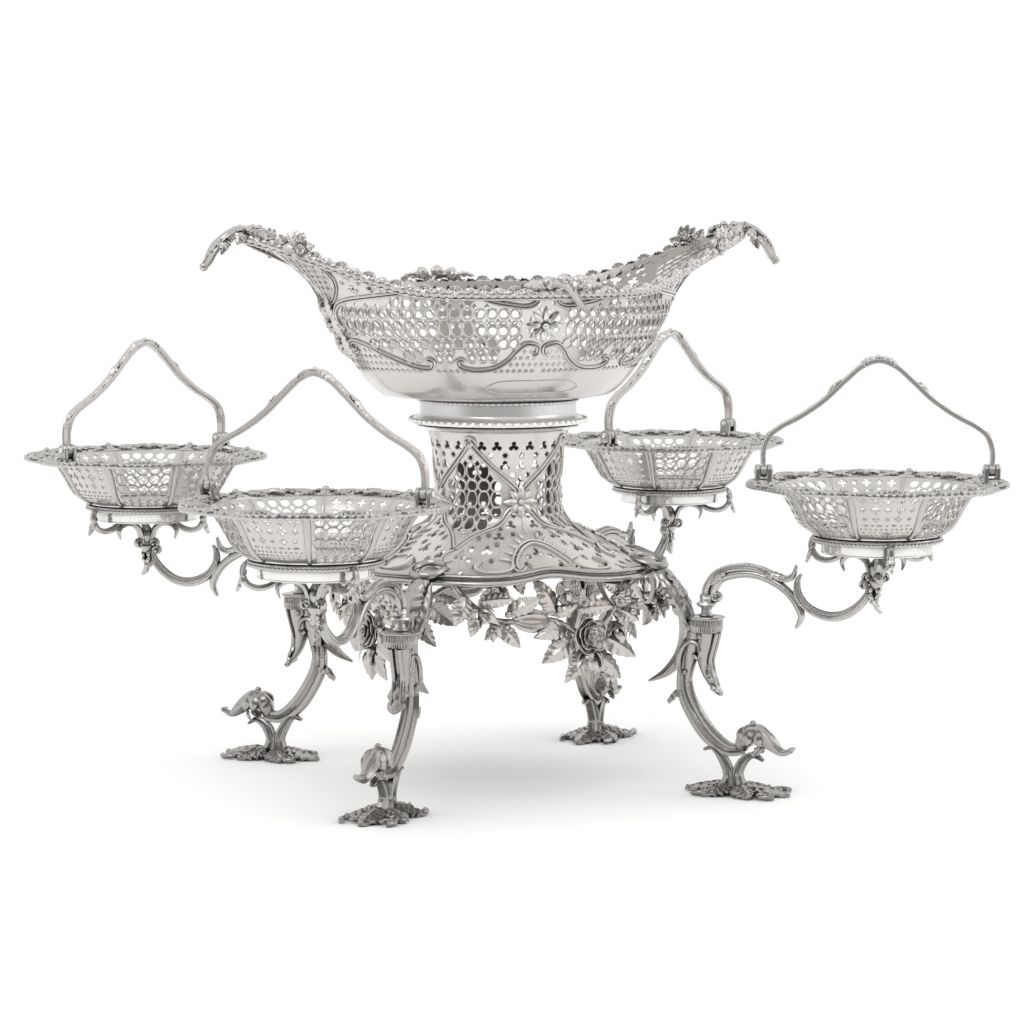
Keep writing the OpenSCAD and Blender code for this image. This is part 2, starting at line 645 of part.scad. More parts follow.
// Rosettes: eight petals round a boss, applied to the middle of each long side
rosette_t = 3;
module centre_rosettes() {
    low = bowl_body(body_share(bowl_mid_h))[1];
    lean = atan2(bowl_body_b - low, bowl_body_h - bowl_mid_h);
    middle = lerp(low, bowl_body_b, 0.7);
    color("silver")
    for (way = [0, 180])
        rotate([0, 0, way])
            translate([0, -middle + 1, bowl_z + lerp(bowl_mid_h, bowl_body_h, 0.7)])
                rotate([90 - lean, 0, 0]) {
                    linear_extrude(height = rosette_t)
                        polygon([for (k = [0 : 63]) let (a = 360 * k / 64)
                            rosette_r * (0.62 + 0.38 * pow(abs(cos(4 * a)), 0.7)) * [cos(a), sin(a)]]);
                    cylinder(r = rosette_r * 0.25, h = rosette_t + 1.5);
                }
}

// Terminals: a scroll that curls over at each drawn-out end, under a leafy crest
module centre_terminals() {
    tip = bowl_rim(0);
    at = [tip[0], 0, tip[2]];
    color("silver")
    for (way = [0, 180])
        rotate([0, 0, way]) {
            bar(curve([concat(at + [-6, 0, 1], [9, 2.2]), concat(at + [4, 0, 3], [8, 2.6]),
                       concat(at + [13, 0, -1], [5.5, 2.8]), concat(at + [20, 0, -9], [4.5, 2.8]),
                       concat(at + [25, 0, -18], [4, 2.8]), concat(at + [29, 0, -22], [2.5, 1.6])], 2), n = 6);
            for (k = [-1.5 : 1.5])
                leaf(at + [-3, 2 * k, 1], at + [-3 - abs(k), 7 * k, 9 - 2 * abs(k)], [1, 0, -0.2], 8, 3);
        }
}

// Branches: a pin and flange, two scrolls with a horn and a tail, and a cradle for the basket
module at_branch(i) {
    rotate([0, 0, corner_angle[i]])
        translate([socket_r, 0, 0])
            rotate([0, 0, branch_turn[i]])
                children();
}

function arm_point(x, z, w, t) = [branch_reach * x, 0, socket_z + branch_rise * z, arm_w * w, arm_w * t];

module spigot(i) {
    neck_h = 7;
    color("silver")
    at_branch(i) {
        translate([0, 0, socket_z - pin_depth]) cylinder(r = pin_r, h = pin_depth + flange_h);
        translate([0, 0, socket_z + flange_h]) cylinder(r1 = pin_r + 3, r2 = pin_r + 0.5, h = 2.5);
        translate([0, 0, socket_z + flange_h + 2.5]) cylinder(r = pin_r + 0.5, h = neck_h - 2.5);
    }
}

module arm(i) {
    start = (flange_h + 3) / branch_rise;
    color("silver")
    at_branch(i) {
        bar(curve([arm_point(0, start, 0.9, 0.9), arm_point(0.02, 0.6, 1, 1), arm_point(0.07, 0.85, 1, 1),
                   arm_point(0.14, 0.97, 1, 1), arm_point(0.23, 1, 1, 1), arm_point(0.32, 0.97, 1, 0.95),
                   arm_point(0.43, 0.81, 0.95, 0.9), arm_point(0.51, 0.6, 0.9, 0.85),
                   arm_point(0.555, 0.34, 0.9, 0.8), arm_point(0.56, 0.08, 0.8, 0.7),
                   arm_point(0.525, -0.16, 0.3, 0.25)], 2), n = 6);
        bar(curve([arm_point(0.56, 0.95, 0.3, 0.3), arm_point(0.535, 0.78, 0.8, 0.75),
                   arm_point(0.55, 0.5, 0.95, 0.85), arm_point(0.63, 0.25, 1, 0.9), arm_point(0.74, 0.13, 1, 0.95),
                   arm_point(0.86, 0.24, 1, 0.95), arm_point(0.95, 0.52, 1, 0.9),
                   arm_point(0.975, 0.82, 0.9, 0.85)], 2), n = 6);
        // The horn, the small volute over the flange and the tail below the knop
        horn = arm_point(0.43, 0.86, 1, 1);
        bend = arm_point(0.505, 0.94, 1, 1);
        point = arm_point(0.54, 1.2, 1, 1);
        leaf(head3(horn), head3(bend) + [2, 0, 1], [0, 1, 0], 6, 5);
        leaf(head3(bend) - [1, 0, 0.5], head3(point), [0, 1, 0], 5, 5);
        volute = head3(arm_point(0.065, 0.5, 1, 1));
        pod(volute - [0, 1.1 * arm_w, 0], volute + [0, 1.1 * arm_w, 0], 1.2 * arm_w);
        tail = head3(arm_point(1, 0.85, 1, 1));
        leaf(tail + [1, 0, 2], tail + [3, 0, -18], [1, 0, 0], 8, 6);
        leaf(tail + [-4, 0, -1], tail + [-9, 0, 1], [0, 1, 0], 6, 6);
        for (way = [-1, 1])
            leaf(tail + [0.5, -way, -2], tail + [1, way * 9, 0], [0, 0, 1], 7, 6);
    }
}

// A flat scroll in a vertical plane, from one angle to another round a centre
module scroll(x, z, r, from, to) {
    translate([x, 0, z])
        rotate([90, 0, 0])
            rotate_extrude(angle = to - from, start = from)
                translate([r - bracket_w / 2, -bracket_w / 2]) square(bracket_w);
}

ring_in = dish_foot_r + ring_gap;
ring_out = ring_in + ring_w;
knop_r = 6;
module cradle(i) {
    drop = ring_z - knop_z;
    inner_x = 14;
    inner_r = 9.5;
    inner_drop = 17;
    outer_r = 9.5;
    outer_x = ring_out - outer_r + bracket_w / 2 - 0.5;
    outer_drop = 8;
    cusp = 205;
    over_ring = 398;
    color("silver")
    at_branch(i) translate([branch_reach, 0, 0]) {
        rotate_extrude()
            polygon([[ring_in, ring_z - ring_h], [ring_out - 1.5, ring_z - ring_h], [ring_out, ring_z - ring_h + 1.5],
                     [ring_out, ring_z - 1], [ring_out - 1, ring_z], [ring_in, ring_z]]);
        translate([0, 0, knop_z]) sphere(r = knop_r);
        translate([0, 0, knop_z]) cylinder(r = knop_r * 0.72, h = drop * 0.45);
        for (k = [0 : 2])
            rotate([0, 0, 60 + 120 * k]) {
                scroll(inner_x, ring_z - inner_drop, inner_r, cusp - 180, cusp);
                scroll(outer_x, ring_z - outer_drop, outer_r, cusp, over_ring);
                scroll(outer_x - 10, ring_z - 7.4, 2.6, 170, 330);
            }
    }
}

// Small baskets: eight pierced panels with ribs over their seams, a wavy rim and a foot band
panels = 8;
panel_angle = 360 / panels;
knee_h = 3;
knee_r = dish_base_r + 5;
neck_h = 4.5;
neck_r = dish_mouth_r - 4;
function dish_profile() = [[dish_base_r, wall_z], [knee_r, wall_z + knee_h],
                           [neck_r, rim_z - neck_h], [dish_mouth_r, rim_z]];

module at_basket(i) {
    at_branch(i)
        translate([branch_reach, 0, 0])
            rotate([0, 0, bail_yaw[i] - corner_angle[i] - branch_turn[i]])
                children();
}

// A band of the wall between two angles, with its inner and outer faces set off from the profile
module wall_band(from, to, inner, outer) {
    p = dish_profile();
    rotate_extrude(angle = to - from, start = from)
        polygon(concat([for (q = p) q + [outer, 0]],
                       [for (k = [len(p) - 1 : -1 : 0]) p[k] + [inner, 0]]));
}

module on_panel(share, a) {
    p = dish_profile();
    on_wall(p[1], p[2], share, a) children();
}

// One panel in two has a trellis of lozenges, the others have cut flowers
module trellis(middle) {
    step = panel_angle / 4;
    for (k = [-1 : 1])
        for (share = [0.24, 0.76]) on_panel(share, middle + step * k) lozenge(7.5, 11, pierce_depth);
    for (k = [-0.5 : 0.5]) on_panel(0.5, middle + step * k) lozenge(6.5, 9, pierce_depth);
}

module flowers(middle) {
    step = panel_angle / 4;
    for (k = [-1 : 1]) on_panel(0.74, middle + step * k) foil(4, 4.2, pierce_depth);
    for (k = [-0.5 : 0.5]) on_panel(0.45, middle + step * k) foil(3, 3.2, pierce_depth);
    for (k = [-1 : 1]) on_panel(0.2, middle + step * k) lozenge(3.6, 5, pierce_depth);
}

seam_gap = 0.8;
module dish_wall(i) {
    seam = seam_gap / dish_base_r * 180 / PI;
    color("silver")
    at_basket(i)
        for (k = [0 : panels - 1])
            difference() {
                wall_band(panel_angle * (k - 0.5) + seam / 2, panel_angle * (k + 0.5) - seam / 2, -sheet, 0);
                if (k % 2 == 0) flowers(panel_angle * k);
                else trellis(panel_angle * k);
            }
}

rib_t = 1.2;
module dish_ribs(i) {
    half = rib_w / dish_mouth_r * 90 / PI;
    color("silver")
    at_basket(i)
        for (k = [0 : panels - 1])
            wall_band(panel_angle * (k + 0.5) - half, panel_angle * (k + 0.5) + half, 0, rib_t);
}

function rim_edge(grow) = [for (k = [0 : edge_steps - 1])
    let (a = 360 * k / edge_steps) (rim_r + rim_wave * cos(panels * a) + grow) * [cos(a), sin(a)]];

module dish_rim(i) {
    color("silver")
    at_basket(i) {
        translate([0, 0, rim_z])
            linear_extrude(height = rim_t)
                difference() {
                    polygon(rim_edge(0));
                    circle(r = dish_mouth_r - sheet);
                }
        translate([0, 0, flange_z])
            linear_extrude(height = rim_edge_h)
                difference() {
                    polygon(rim_edge(0));
                    polygon(rim_edge(-rim_edge_w));
                }
    }
}

module dish_foot(i) {
    color("silver")
    at_basket(i)
        translate([0, 0, floor_z])
            rotate_extrude()
                polygon([[0, 0], [dish_foot_r - sheet, 0], [dish_foot_r - sheet, -dish_foot_h],
                         [dish_foot_r, -dish_foot_h], [dish_foot_r, 0], [dish_base_r, 0],
                         [dish_base_r, sheet], [0, sheet]]);
}

// Bail hinges: two knuckles on the rim with the bail's own knuckle between them
bail_knuckle = 4;
lug_len = 3;
lug_in = bail_knuckle / 2 + hinge_gap;

module along_hinge(from, len, r) {
    translate([hinge_r + from, 0, hinge_z]) rotate([0, 90, 0]) cylinder(r = r, h = len);
}

module hinge_lugs(i) {
    color("silver")
    at_basket(i)
        for (end = [0, 180])
            rotate([0, 0, end])
                for (from = [-lug_in - lug_len, lug_in])
                    difference() {
                        union() {
                            along_hinge(from, lug_len, knuckle_r);
                            translate([hinge_r + from, -knuckle_r, flange_z])
                                cube([lug_len, 2 * knuckle_r, hinge_h]);
                        }
                        along_hinge(from - 1, lug_len + 2, hinge_pin_r + fit_gap);
                    }
}

module hinge_pins(i) {
    color("silver")
    at_basket(i)
        for (end = [0, 180])
            rotate([0, 0, end])
                along_hinge(-lug_in - lug_len, 2 * (lug_in + lug_len), hinge_pin_r);
}

// Half of the bail's line, from the hinge to the crown, in shares of its reach and its height
function bail_line() =
    let (half = [[1, 0.04], [1, 0.18], [0.955, 0.31], [0.85, 0.4], [0.67, 0.5], [0.47, 0.645],
                 [0.29, 0.82], [0.15, 0.945], [0, 1]],
         left = curve([for (p = half) [-p[0] * hinge_r, p[1] * bail_h]], 3))
    concat(left, [for (k = [len(left) - 2 : -1 : 0]) [-left[k][0], left[k][1]]]);

module bail(i) {
    line = bail_line();
    m = len(line);
    function across(k) = let (t = unit(line[min(k + 1, m - 1)] - line[max(k - 1, 0)])) [-t[1], t[0]];
    outer = [for (k = [0 : m - 1]) line[k] + across(k) * bail_t / 2];
    inner = [for (k = [m - 1 : -1 : 0]) line[k] - across(k) * bail_t / 2];
    color("silver")
    at_basket(i)
        difference() {
            union() {
                translate([0, 0, hinge_z])
                    rotate([90, 0, 0])
                        linear_extrude(height = bail_w, center = true) polygon(concat(outer, inner));
                for (end = [0, 180])
                    rotate([0, 0, end]) along_hinge(-bail_knuckle / 2, bail_knuckle, knuckle_r);
            }
            for (end = [0, 180])
                rotate([0, 0, end]) along_hinge(-lug_in, 2 * lug_in, hinge_pin_r + pin_gap);
        }
}

stem();
skirt();
skirt_moulding();
stem_collar();
sockets();
foot_pads();
centre_bowl();
centre_border();
centre_foot();
centre_rosettes();
centre_terminals();
for (i = [0 : 3]) {
    leg(i);
    festoon(i);
    spigot(i);
    arm(i);
    cradle(i);
    dish_wall(i);
    dish_ribs(i);
    dish_rim(i);
    dish_foot(i);
    hinge_lugs(i);
    hinge_pins(i);
    bail(i);
}
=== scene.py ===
"""Looks of the epergne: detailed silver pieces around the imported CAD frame.

Shapes are drawn in millimetres and angles in degrees; a piece becomes metres when it is made.
"""
import json
import math

import bmesh
import bpy
import numpy as np
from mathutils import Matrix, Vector
from mathutils.geometry import delaunay_2d_cdt


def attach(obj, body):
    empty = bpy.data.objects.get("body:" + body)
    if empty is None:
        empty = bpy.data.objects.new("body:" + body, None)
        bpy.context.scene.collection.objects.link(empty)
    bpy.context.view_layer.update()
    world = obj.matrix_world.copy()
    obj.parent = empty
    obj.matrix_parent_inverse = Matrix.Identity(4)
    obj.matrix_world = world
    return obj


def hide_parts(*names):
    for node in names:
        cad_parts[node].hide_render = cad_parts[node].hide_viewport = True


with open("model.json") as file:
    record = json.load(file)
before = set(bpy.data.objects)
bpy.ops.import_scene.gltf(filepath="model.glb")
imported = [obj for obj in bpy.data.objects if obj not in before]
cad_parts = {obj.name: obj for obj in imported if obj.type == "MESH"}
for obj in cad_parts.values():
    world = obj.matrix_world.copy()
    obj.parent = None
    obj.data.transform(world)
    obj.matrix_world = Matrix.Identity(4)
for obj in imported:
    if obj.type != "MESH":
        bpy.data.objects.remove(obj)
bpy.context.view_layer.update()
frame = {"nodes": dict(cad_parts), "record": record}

MM = 0.001
CORNERS = {"front_left": 225, "front_right": 315, "back_right": 45, "back_left": 135}
BRANCH_TURN = {"front_left": 0, "front_right": 0, "back_right": -9, "back_left": 4}
BAIL_YAW = {"front_left": -45, "front_right": -20, "back_right": 30, "back_left": 28}
SIDES = {"front": 0, "right": 90, "back": 180, "left": 270}

# The photograph's camera: where it stands, where it looks and its focal length in pixels
PHOTO_SIZE = 1024
CAMERA_AZIMUTH = -20.6
CAMERA_DISTANCE = 2450
CAMERA_HEIGHT = 425
LOOK_AT_HEIGHT = 181
FOCAL_PIXELS = 3624
AXIS_PIXEL = 498
SENSOR = 36

# Heights and radii shared with the CAD source
SKIRT_Z = 147
BOWL_Z = 258.5
SOCKET_R = 152
BRANCH_REACH = 118
WALL_Z, FLANGE_Z, HINGE_Z = 178.25, 210.25, 219.25
HINGE_R = 74
SHEET = 1.2
SHARP_ANGLE = math.radians(42)


# Points and curves

def vec(*values):
    return np.array(values, float)


def pairs(*values):
    return vec(*values).reshape(-1, 2)


def unit(v):
    v = np.asarray(v, float)
    return v / np.maximum(np.linalg.norm(v, axis=-1, keepdims=True), 1e-9)


def direction(degrees):
    """The level direction at an angle."""
    return vec(math.cos(math.radians(degrees)), math.sin(math.radians(degrees)), 0)


def round_angles(steps):
    """Even angles round a circle, in radians."""
    return 2 * np.pi * np.arange(steps) / steps


def flat(x, y):
    """Flat places from two rows of coordinates, one of which may be a single number."""
    return np.stack(np.broadcast_arrays(np.asarray(x, float), y), -1)


def around(r, a, z):
    """Points about Z from radii, angles in radians and heights."""
    return np.stack(np.broadcast_arrays(r * np.cos(a), r * np.sin(a), z), -1)


def run_of(points):
    """How far along a line each of its points lies."""
    return np.concatenate([[0], np.cumsum(np.linalg.norm(np.diff(points, axis=0), axis=1))])


def mirrored(half):
    """A whole line from a half that ends on its middle."""
    half = np.asarray(half, float)
    return np.vstack([half * (-1, 1), half[-2::-1]])


def smooth(points, steps=8, closed=False):
    """A smooth curve through rows of numbers, with so many steps between two rows."""
    p = np.asarray(points, float)
    n = len(p)
    ids = np.arange(n if closed else n - 1)
    near = [(ids + k) % n if closed else np.clip(ids + k, 0, n - 1) for k in (-1, 0, 1, 2)]
    a, b, c, d = (p[k][:, None, :] for k in near)
    t = (np.arange(steps) / steps)[None, :, None]
    line = 0.5 * (2 * b + (c - a) * t + (2 * a - 5 * b + 4 * c - d) * t**2 + (3 * b - a - 3 * c + d) * t**3)
    line = line.reshape(-1, p.shape[1])
    return line if closed else np.vstack([line, p[-1:]])


def spiral(centre, start_r, end_r, start, turn, steps=20):
    """Points of a flat spiral in two dimensions, from an angle and through a turn."""
    t = np.linspace(0, 1, steps)
    a = np.radians(start + turn * t)
    r = start_r + (end_r - start_r) * t
    return np.column_stack([centre[0] + r * np.cos(a), centre[1] + r * np.sin(a)])


# Solid forms

class Shape:
    """Patches of points and their faces, gathered into one piece."""

    def __init__(self):
        self.points, self.faces, self.count = [], [], 0

    def add(self, points, *groups):
        points = np.asarray(points, float).reshape(-1, 3)
        self.points.append(points)
        for faces in groups:
            self.faces.extend((np.asarray(faces) + self.count).tolist())
        self.count += len(points)

    def all_points(self):
        return np.vstack(self.points)

    def add_copy(self, other, turn=0, offset=(0, 0, 0), mirror=(1, 1, 1)):
        """Adds another shape, mirrored, turned about Z and moved."""
        points = turned(other.all_points() * np.array(mirror, float), turn) + np.array(offset, float)
        flip = np.prod(mirror) < 0
        self.points.append(points)
        self.faces.extend([[i + self.count for i in (f[::-1] if flip else f)] for f in other.faces])
        self.count += len(points)

    def add_copies(self, other, count, start=0):
        """Adds another shape so many times, evenly about Z."""
        for k in range(count):
            self.add_copy(other, start + 360 / count * k)

    def add_mirrored(self, quarter):
        """Adds a quarter on both sides of both upright planes."""
        for x in (-1, 1):
            for y in (-1, 1):
                self.add_copy(quarter, mirror=(x, y, 1))


def turned(points, degrees):
    c, s = math.cos(math.radians(degrees)), math.sin(math.radians(degrees))
    return np.asarray(points, float) @ np.array([[c, s, 0], [-s, c, 0], [0, 0, 1]])


def grid_faces(rows, ring, closed_rows=False, closed_ring=True):
    i, k = np.meshgrid(np.arange(rows if closed_rows else rows - 1),
                       np.arange(ring if closed_ring else ring - 1), indexing="ij")
    j, l = (i + 1) % rows, (k + 1) % ring
    return np.stack([i * ring + k, i * ring + l, j * ring + l, j * ring + k], -1).reshape(-1, 4)


def oval(width, thick=None, points=12, reeds=0, depth=0.0):
    """Sections for a sweep: half widths and half thicknesses, reeded if asked."""
    width = np.atleast_1d(np.asarray(width, float))
    thick = width if thick is None else np.atleast_1d(np.asarray(thick, float))
    a = round_angles(points)
    r = 1 - depth * (0.5 - 0.5 * np.cos(reeds * a))
    return np.stack([width[:, None] * r * np.cos(a), thick[:, None] * r * np.sin(a)], -1)


def sweep(shape, path, section, side=(0, 1, 0), closed=False):
    """Sweeps a section along a path; the section's width lies along side."""
    path = np.asarray(path, float)
    n = len(path)
    along = np.roll(path, -1, 0) - np.roll(path, 1, 0) if closed else np.gradient(path, axis=0)
    along = unit(along)
    side = np.broadcast_to(np.asarray(side, float), path.shape)
    across = unit(side - (side * along).sum(1, keepdims=True) * along)
    up = np.cross(along, across)
    section = np.broadcast_to(section, (n,) + section.shape[-2:])
    ring = section.shape[1]
    points = path[:, None] + across[:, None] * section[..., :1] + up[:, None] * section[..., 1:]
    quads = grid_faces(n, ring, closed)
    if closed:
        shape.add(points, quads)
        return
    k = np.arange(ring)
    last = (n - 1) * ring
    start = np.stack([np.roll(k, -1), k, np.full(ring, n * ring)], -1)
    end = np.stack([k + last, np.roll(k, -1) + last, np.full(ring, n * ring + 1)], -1)
    points = np.vstack([points.reshape(-1, 3), points[0].mean(0), points[-1].mean(0)])
    shape.add(points, quads, start, end)


def revolved(shape, base, tip, profile, points=14, ribs=0, depth=0.0):
    """A turned or ribbed body round the line from base to tip; profile rows are (share, radius)."""
    base, tip = np.asarray(base, float), np.asarray(tip, float)
    profile = np.asarray(profile, float)
    side = unit(np.cross(tip - base, (0.31, 0.57, 0.76)))
    path = base + (tip - base) * profile[:, :1]
    sweep(shape, path, oval(profile[:, 1], points=points, reeds=ribs, depth=depth), side)


def ball(shape, centre, r, points=12):
    a = np.radians(np.linspace(4, 176, 9))
    centre = np.asarray(centre, float)
    profile = np.column_stack([0.5 - 0.5 * np.cos(a), r * np.sin(a)])
    revolved(shape, centre - (0, 0, r), centre + (0, 0, r), profile, points)


def slab(shape, top, back):
    """A grid of points given a thickness: back is the way to its other side."""
    n, m = top.shape[:2]
    other = top + back
    quads = grid_faces(n, m, False, False)
    half = n * m
    ids = np.arange(half).reshape(n, m)
    edge = np.concatenate([ids[0, :-1], ids[:-1, -1], ids[-1, :0:-1], ids[:0:-1, 0]])
    after = np.roll(edge, -1)
    walls = np.stack([after, edge, edge + half, after + half], -1)
    shape.add(np.vstack([top.reshape(-1, 3), other.reshape(-1, 3)]),
              np.vstack([quads, quads[:, ::-1] + half, walls]))


def leaf(shape, base, tip, face, width, lobes=5, arch=0.12, roll=0.0, thick=1.0, cup=0.22,
         blunt=False, teeth=False):
    """A chased leaf or petal that faces one way, with rounded lobes or teeth along its edges."""
    base, tip = np.asarray(base, float), np.asarray(tip, float)
    axis = tip - base
    length = np.linalg.norm(axis)
    out = np.asarray(face, float)
    out = unit(out - (out @ axis) * axis / length**2)
    side = unit(np.cross(axis, out))
    s = np.linspace(0, 1, 6 * lobes + 4 if lobes else 10)
    spine = base + axis * s[:, None] + out * (length * (arch * np.sin(np.pi * s) + roll * s**3))[:, None]
    half = np.sin(np.pi * s**(1.5 if blunt else 0.7))**(0.5 if blunt else 0.8)
    half = width / 2 * np.maximum(half, 0.1)
    t = np.linspace(-1, 1, 9)
    swell = cup * np.abs(t)**1.6 - 0.16 * np.exp(-(t / 0.16)**2)
    vein = 0
    if teeth:
        half = half * (0.86 + 0.2 * ((lobes * s) % 1))
        vein = 0.09 * np.abs(t) * np.cos(2 * np.pi * (lobes * s[:, None] - 0.5 * np.abs(t)))
    elif lobes:
        half = half * (0.7 + 0.36 * np.abs(np.sin(np.pi * lobes * s))**0.6)
        vein = -0.13 * np.abs(t) * np.cos(2 * np.pi * (lobes * s[:, None] - 0.3 * np.abs(t)))
    lean = axis * (0.1 * np.abs(t) / max(lobes, 3))[:, None] if lobes else 0
    top = (spine[:, None] + side * (t * half[:, None])[..., None] + lean
           + out * (half[:, None] * (vein - swell))[..., None])
    slab(shape, top[:, ::-1], -out * thick)


def rose(shape, centre, face, r, rings=4):
    """Nested wavy cups of petals that open along face, round a tight heart."""
    centre, out = np.asarray(centre, float), unit(face)
    u = unit(np.cross(out, (0, 0, 1)))
    v = np.cross(out, u)
    a = np.radians(np.arange(0, 360, 5))
    profile = pairs(0.3, -0.06, 0.7, -0.02, 0.96, 0.16, 1.06, 0.34, 1.04, 0.43, 0.97, 0.43, 0.9, 0.34,
                    0.7, 0.28, 0.3, 0.28)
    for ring in range(rings):
        size = r * (1 - 0.22 * ring)
        wave = np.abs(np.cos(2.5 * a + 0.9 * ring))[:, None]
        reach = size * profile[:, 0] * (1 - 0.2 * (1 - wave) * profile[:, 0])
        high = size * profile[:, 1] * (0.7 + 0.35 * wave) + 0.17 * r * ring
        points = (centre + out * high[..., None] + u * (reach * np.cos(a)[:, None])[..., None]
                  + v * (reach * np.sin(a)[:, None])[..., None])
        shape.add(points, grid_faces(len(a), len(profile), True))
    revolved(shape, centre, centre + out * (0.2 + 0.17 * rings) * r,
             [(0, 0.2 * r), (0.6, 0.22 * r), (0.85, 0.16 * r), (1, 0.05 * r)], 16, 4, 0.35)


def bud(shape, base, tip, r, ribs=5):
    """A ribbed bud with sepals at its base."""
    base, tip = np.asarray(base, float), np.asarray(tip, float)
    s = np.linspace(0, 1, 9)
    swell = np.maximum(np.sin(np.pi * s**0.8), 0.12)
    revolved(shape, base, tip, np.column_stack([s, r * swell]), 20, ribs, 0.28)
    axis = unit(tip - base)
    u = unit(np.cross(axis, (0.3, 0.5, 0.8)))
    v = np.cross(axis, u)
    for a in round_angles(5):
        way = u * np.cos(a) + v * np.sin(a)
        end = base + (tip - base) * 0.55 + way * r * 1.2
        leaf(shape, base - axis, end, way, 0.8 * r, 0, arch=0.3, thick=0.6)


def shell(shape, base, out, face, size, ribs=7, spread=75, rise=0.3):
    """A fan shell that opens along out and faces one way."""
    base, out, face = np.asarray(base, float), unit(out), np.asarray(face, float)
    face = unit(face - (face @ out) * out)
    side = np.cross(out, face)
    s = np.linspace(0.08, 1, 9)[:, None]
    a = np.linspace(-1, 1, 6 * ribs + 1)[None, :]
    ridge = np.cos(np.pi * ribs * a)
    r = size * s * (1 + 0.07 * ridge * s)
    lift = size * (rise * np.sin(np.pi * s**0.7) + 0.09 * ridge * s + 0.06)
    angle = np.radians(spread) * a
    top = base + out * (r * np.cos(angle))[..., None] + side * (r * np.sin(angle))[..., None]
    slab(shape, top + face * lift[..., None], -face * size * 0.2)


# Sheets drawn flat, sawn through and laid on a surface

def ellipse(a, b, n=14):
    t = round_angles(n)
    return flat(a * np.cos(t), b * np.sin(t))


def lozenge(w, h, pinch=0.36):
    t = round_angles(8)
    r = np.where(np.arange(8) % 2 == 0, 1, 2 * pinch)
    return flat(w / 2 * r * np.cos(t), h / 2 * r * np.sin(t))


def foil(r, lobes):
    """The outline of so many round lobes about a middle."""
    t = round_angles(8 * lobes)
    off = (t + np.pi / lobes) % (2 * np.pi / lobes) - np.pi / lobes
    ratio = math.sin(0.92 * np.pi / lobes)
    size = r / (1 + ratio) * (np.cos(off) + np.sqrt(np.maximum(ratio**2 - np.sin(off)**2, 0)))
    return flat(-size * np.sin(t), size * np.cos(t))


def star(r, points=8):
    t = round_angles(2 * points)
    size = np.where(np.arange(2 * points) % 2 == 0, r, 0.5 * r)
    return flat(-size * np.sin(t), size * np.cos(t))


def sawn(surface, u, v, outline):
    """A hole's outline, in true mm round its middle, set at a flat place of a surface."""
    u, v = float(u), float(v)
    wide = np.linalg.norm(surface(u + 0.5, v) - surface(u - 0.5, v))
    tall = np.linalg.norm(surface(u, v + 0.5) - surface(u, v - 0.5))
    return outline / (wide, tall) + (u, v)


def oblong(left, right, low, high, across, up):
    """The outline of a flat oblong, with so many steps along its edges."""
    x, y = np.linspace(left, right, across + 1), np.linspace(low, high, up + 1)
    return np.vstack([flat(x, low), flat(right, y[1:]), flat(x[-2::-1], high), flat(left, y[-2:0:-1])])


def inside(polygon, points):
    """Which points lie within a polygon."""
    x, y = points[:, 0], points[:, 1]
    found = np.zeros(len(points), bool)
    for (ax, ay), (bx, by) in zip(polygon, np.roll(polygon, -1, 0)):
        crosses = (ay > y) != (by > y)
        found ^= crosses & (x < (bx - ax) * (y - ay) / (by - ay + 1e-12) + ax)
    return found


def surface_normal(surface, u, v):
    step = 0.05
    across = surface(u + step, v) - surface(u - step, v)
    up = surface(u, v + step) - surface(u, v - step)
    return unit(np.cross(across, up))


def cut_sheet(shape, outline, holes, surface, thick=SHEET, spacing=3.5):
    """Saws holes out of a flat outline, lays the sheet on a surface and gives it a thickness."""
    loops = [np.asarray(outline, float)] + holes
    starts = np.cumsum([0] + [len(p) for p in loops])
    faces = [list(range(starts[k], starts[k + 1])) for k in range(len(loops))]
    low, high = loops[0].min(0), loops[0].max(0)
    x, y = np.meshgrid(np.arange(low[0] + spacing / 2, high[0], spacing),
                       np.arange(low[1] + spacing / 2, high[1], spacing))
    fill = np.column_stack([x.ravel(), y.ravel()])
    fill = fill[inside(loops[0], fill)]
    for hole in holes:
        middle = hole.mean(0)
        reach = np.linalg.norm(hole - middle, axis=1).max() + 0.5
        fill = fill[np.linalg.norm(fill - middle, axis=1) > reach]
    places = [Vector(p) for p in np.vstack(loops + [fill])]
    found, _, triangles, _, _, origin = delaunay_2d_cdt(places, [], faces, 1, 1e-5)
    uv = np.array([(p.x, p.y) for p in found])
    kept = np.array([t for t, o in zip(triangles, origin) if len(o) == 1 and o[0] == 0])
    used, kept = np.unique(kept, return_inverse=True)
    kept = kept.reshape(-1, 3)
    u, v = uv[used].T
    point = surface(u, v)
    normal = surface_normal(surface, u, v)
    edges = np.vstack([kept[:, [0, 1]], kept[:, [1, 2]], kept[:, [2, 0]]])
    key = edges.min(1) * len(used) + edges.max(1)
    _, where, times = np.unique(key, return_index=True, return_counts=True)
    rim = edges[where[times == 1]]
    n = len(used)
    walls = np.column_stack([rim[:, 1], rim[:, 0], rim[:, 0] + n, rim[:, 1] + n])
    shape.add(np.vstack([point, point - normal * thick]), kept, kept[:, ::-1] + n, walls)


def hole_rim(shape, surface, outline, radius=0.5):
    """Lays a raised ring round a sawn hole."""
    middle = outline.mean(0)
    reach = np.linalg.norm(outline - middle, axis=1).mean()
    u, v = (middle + (outline - middle) * (1 + 0.45 / reach)).T
    normal = surface_normal(surface, u, v)
    sweep(shape, surface(u, v) + normal * 0.1, oval(radius, 0.8 * radius, 6), normal, closed=True)


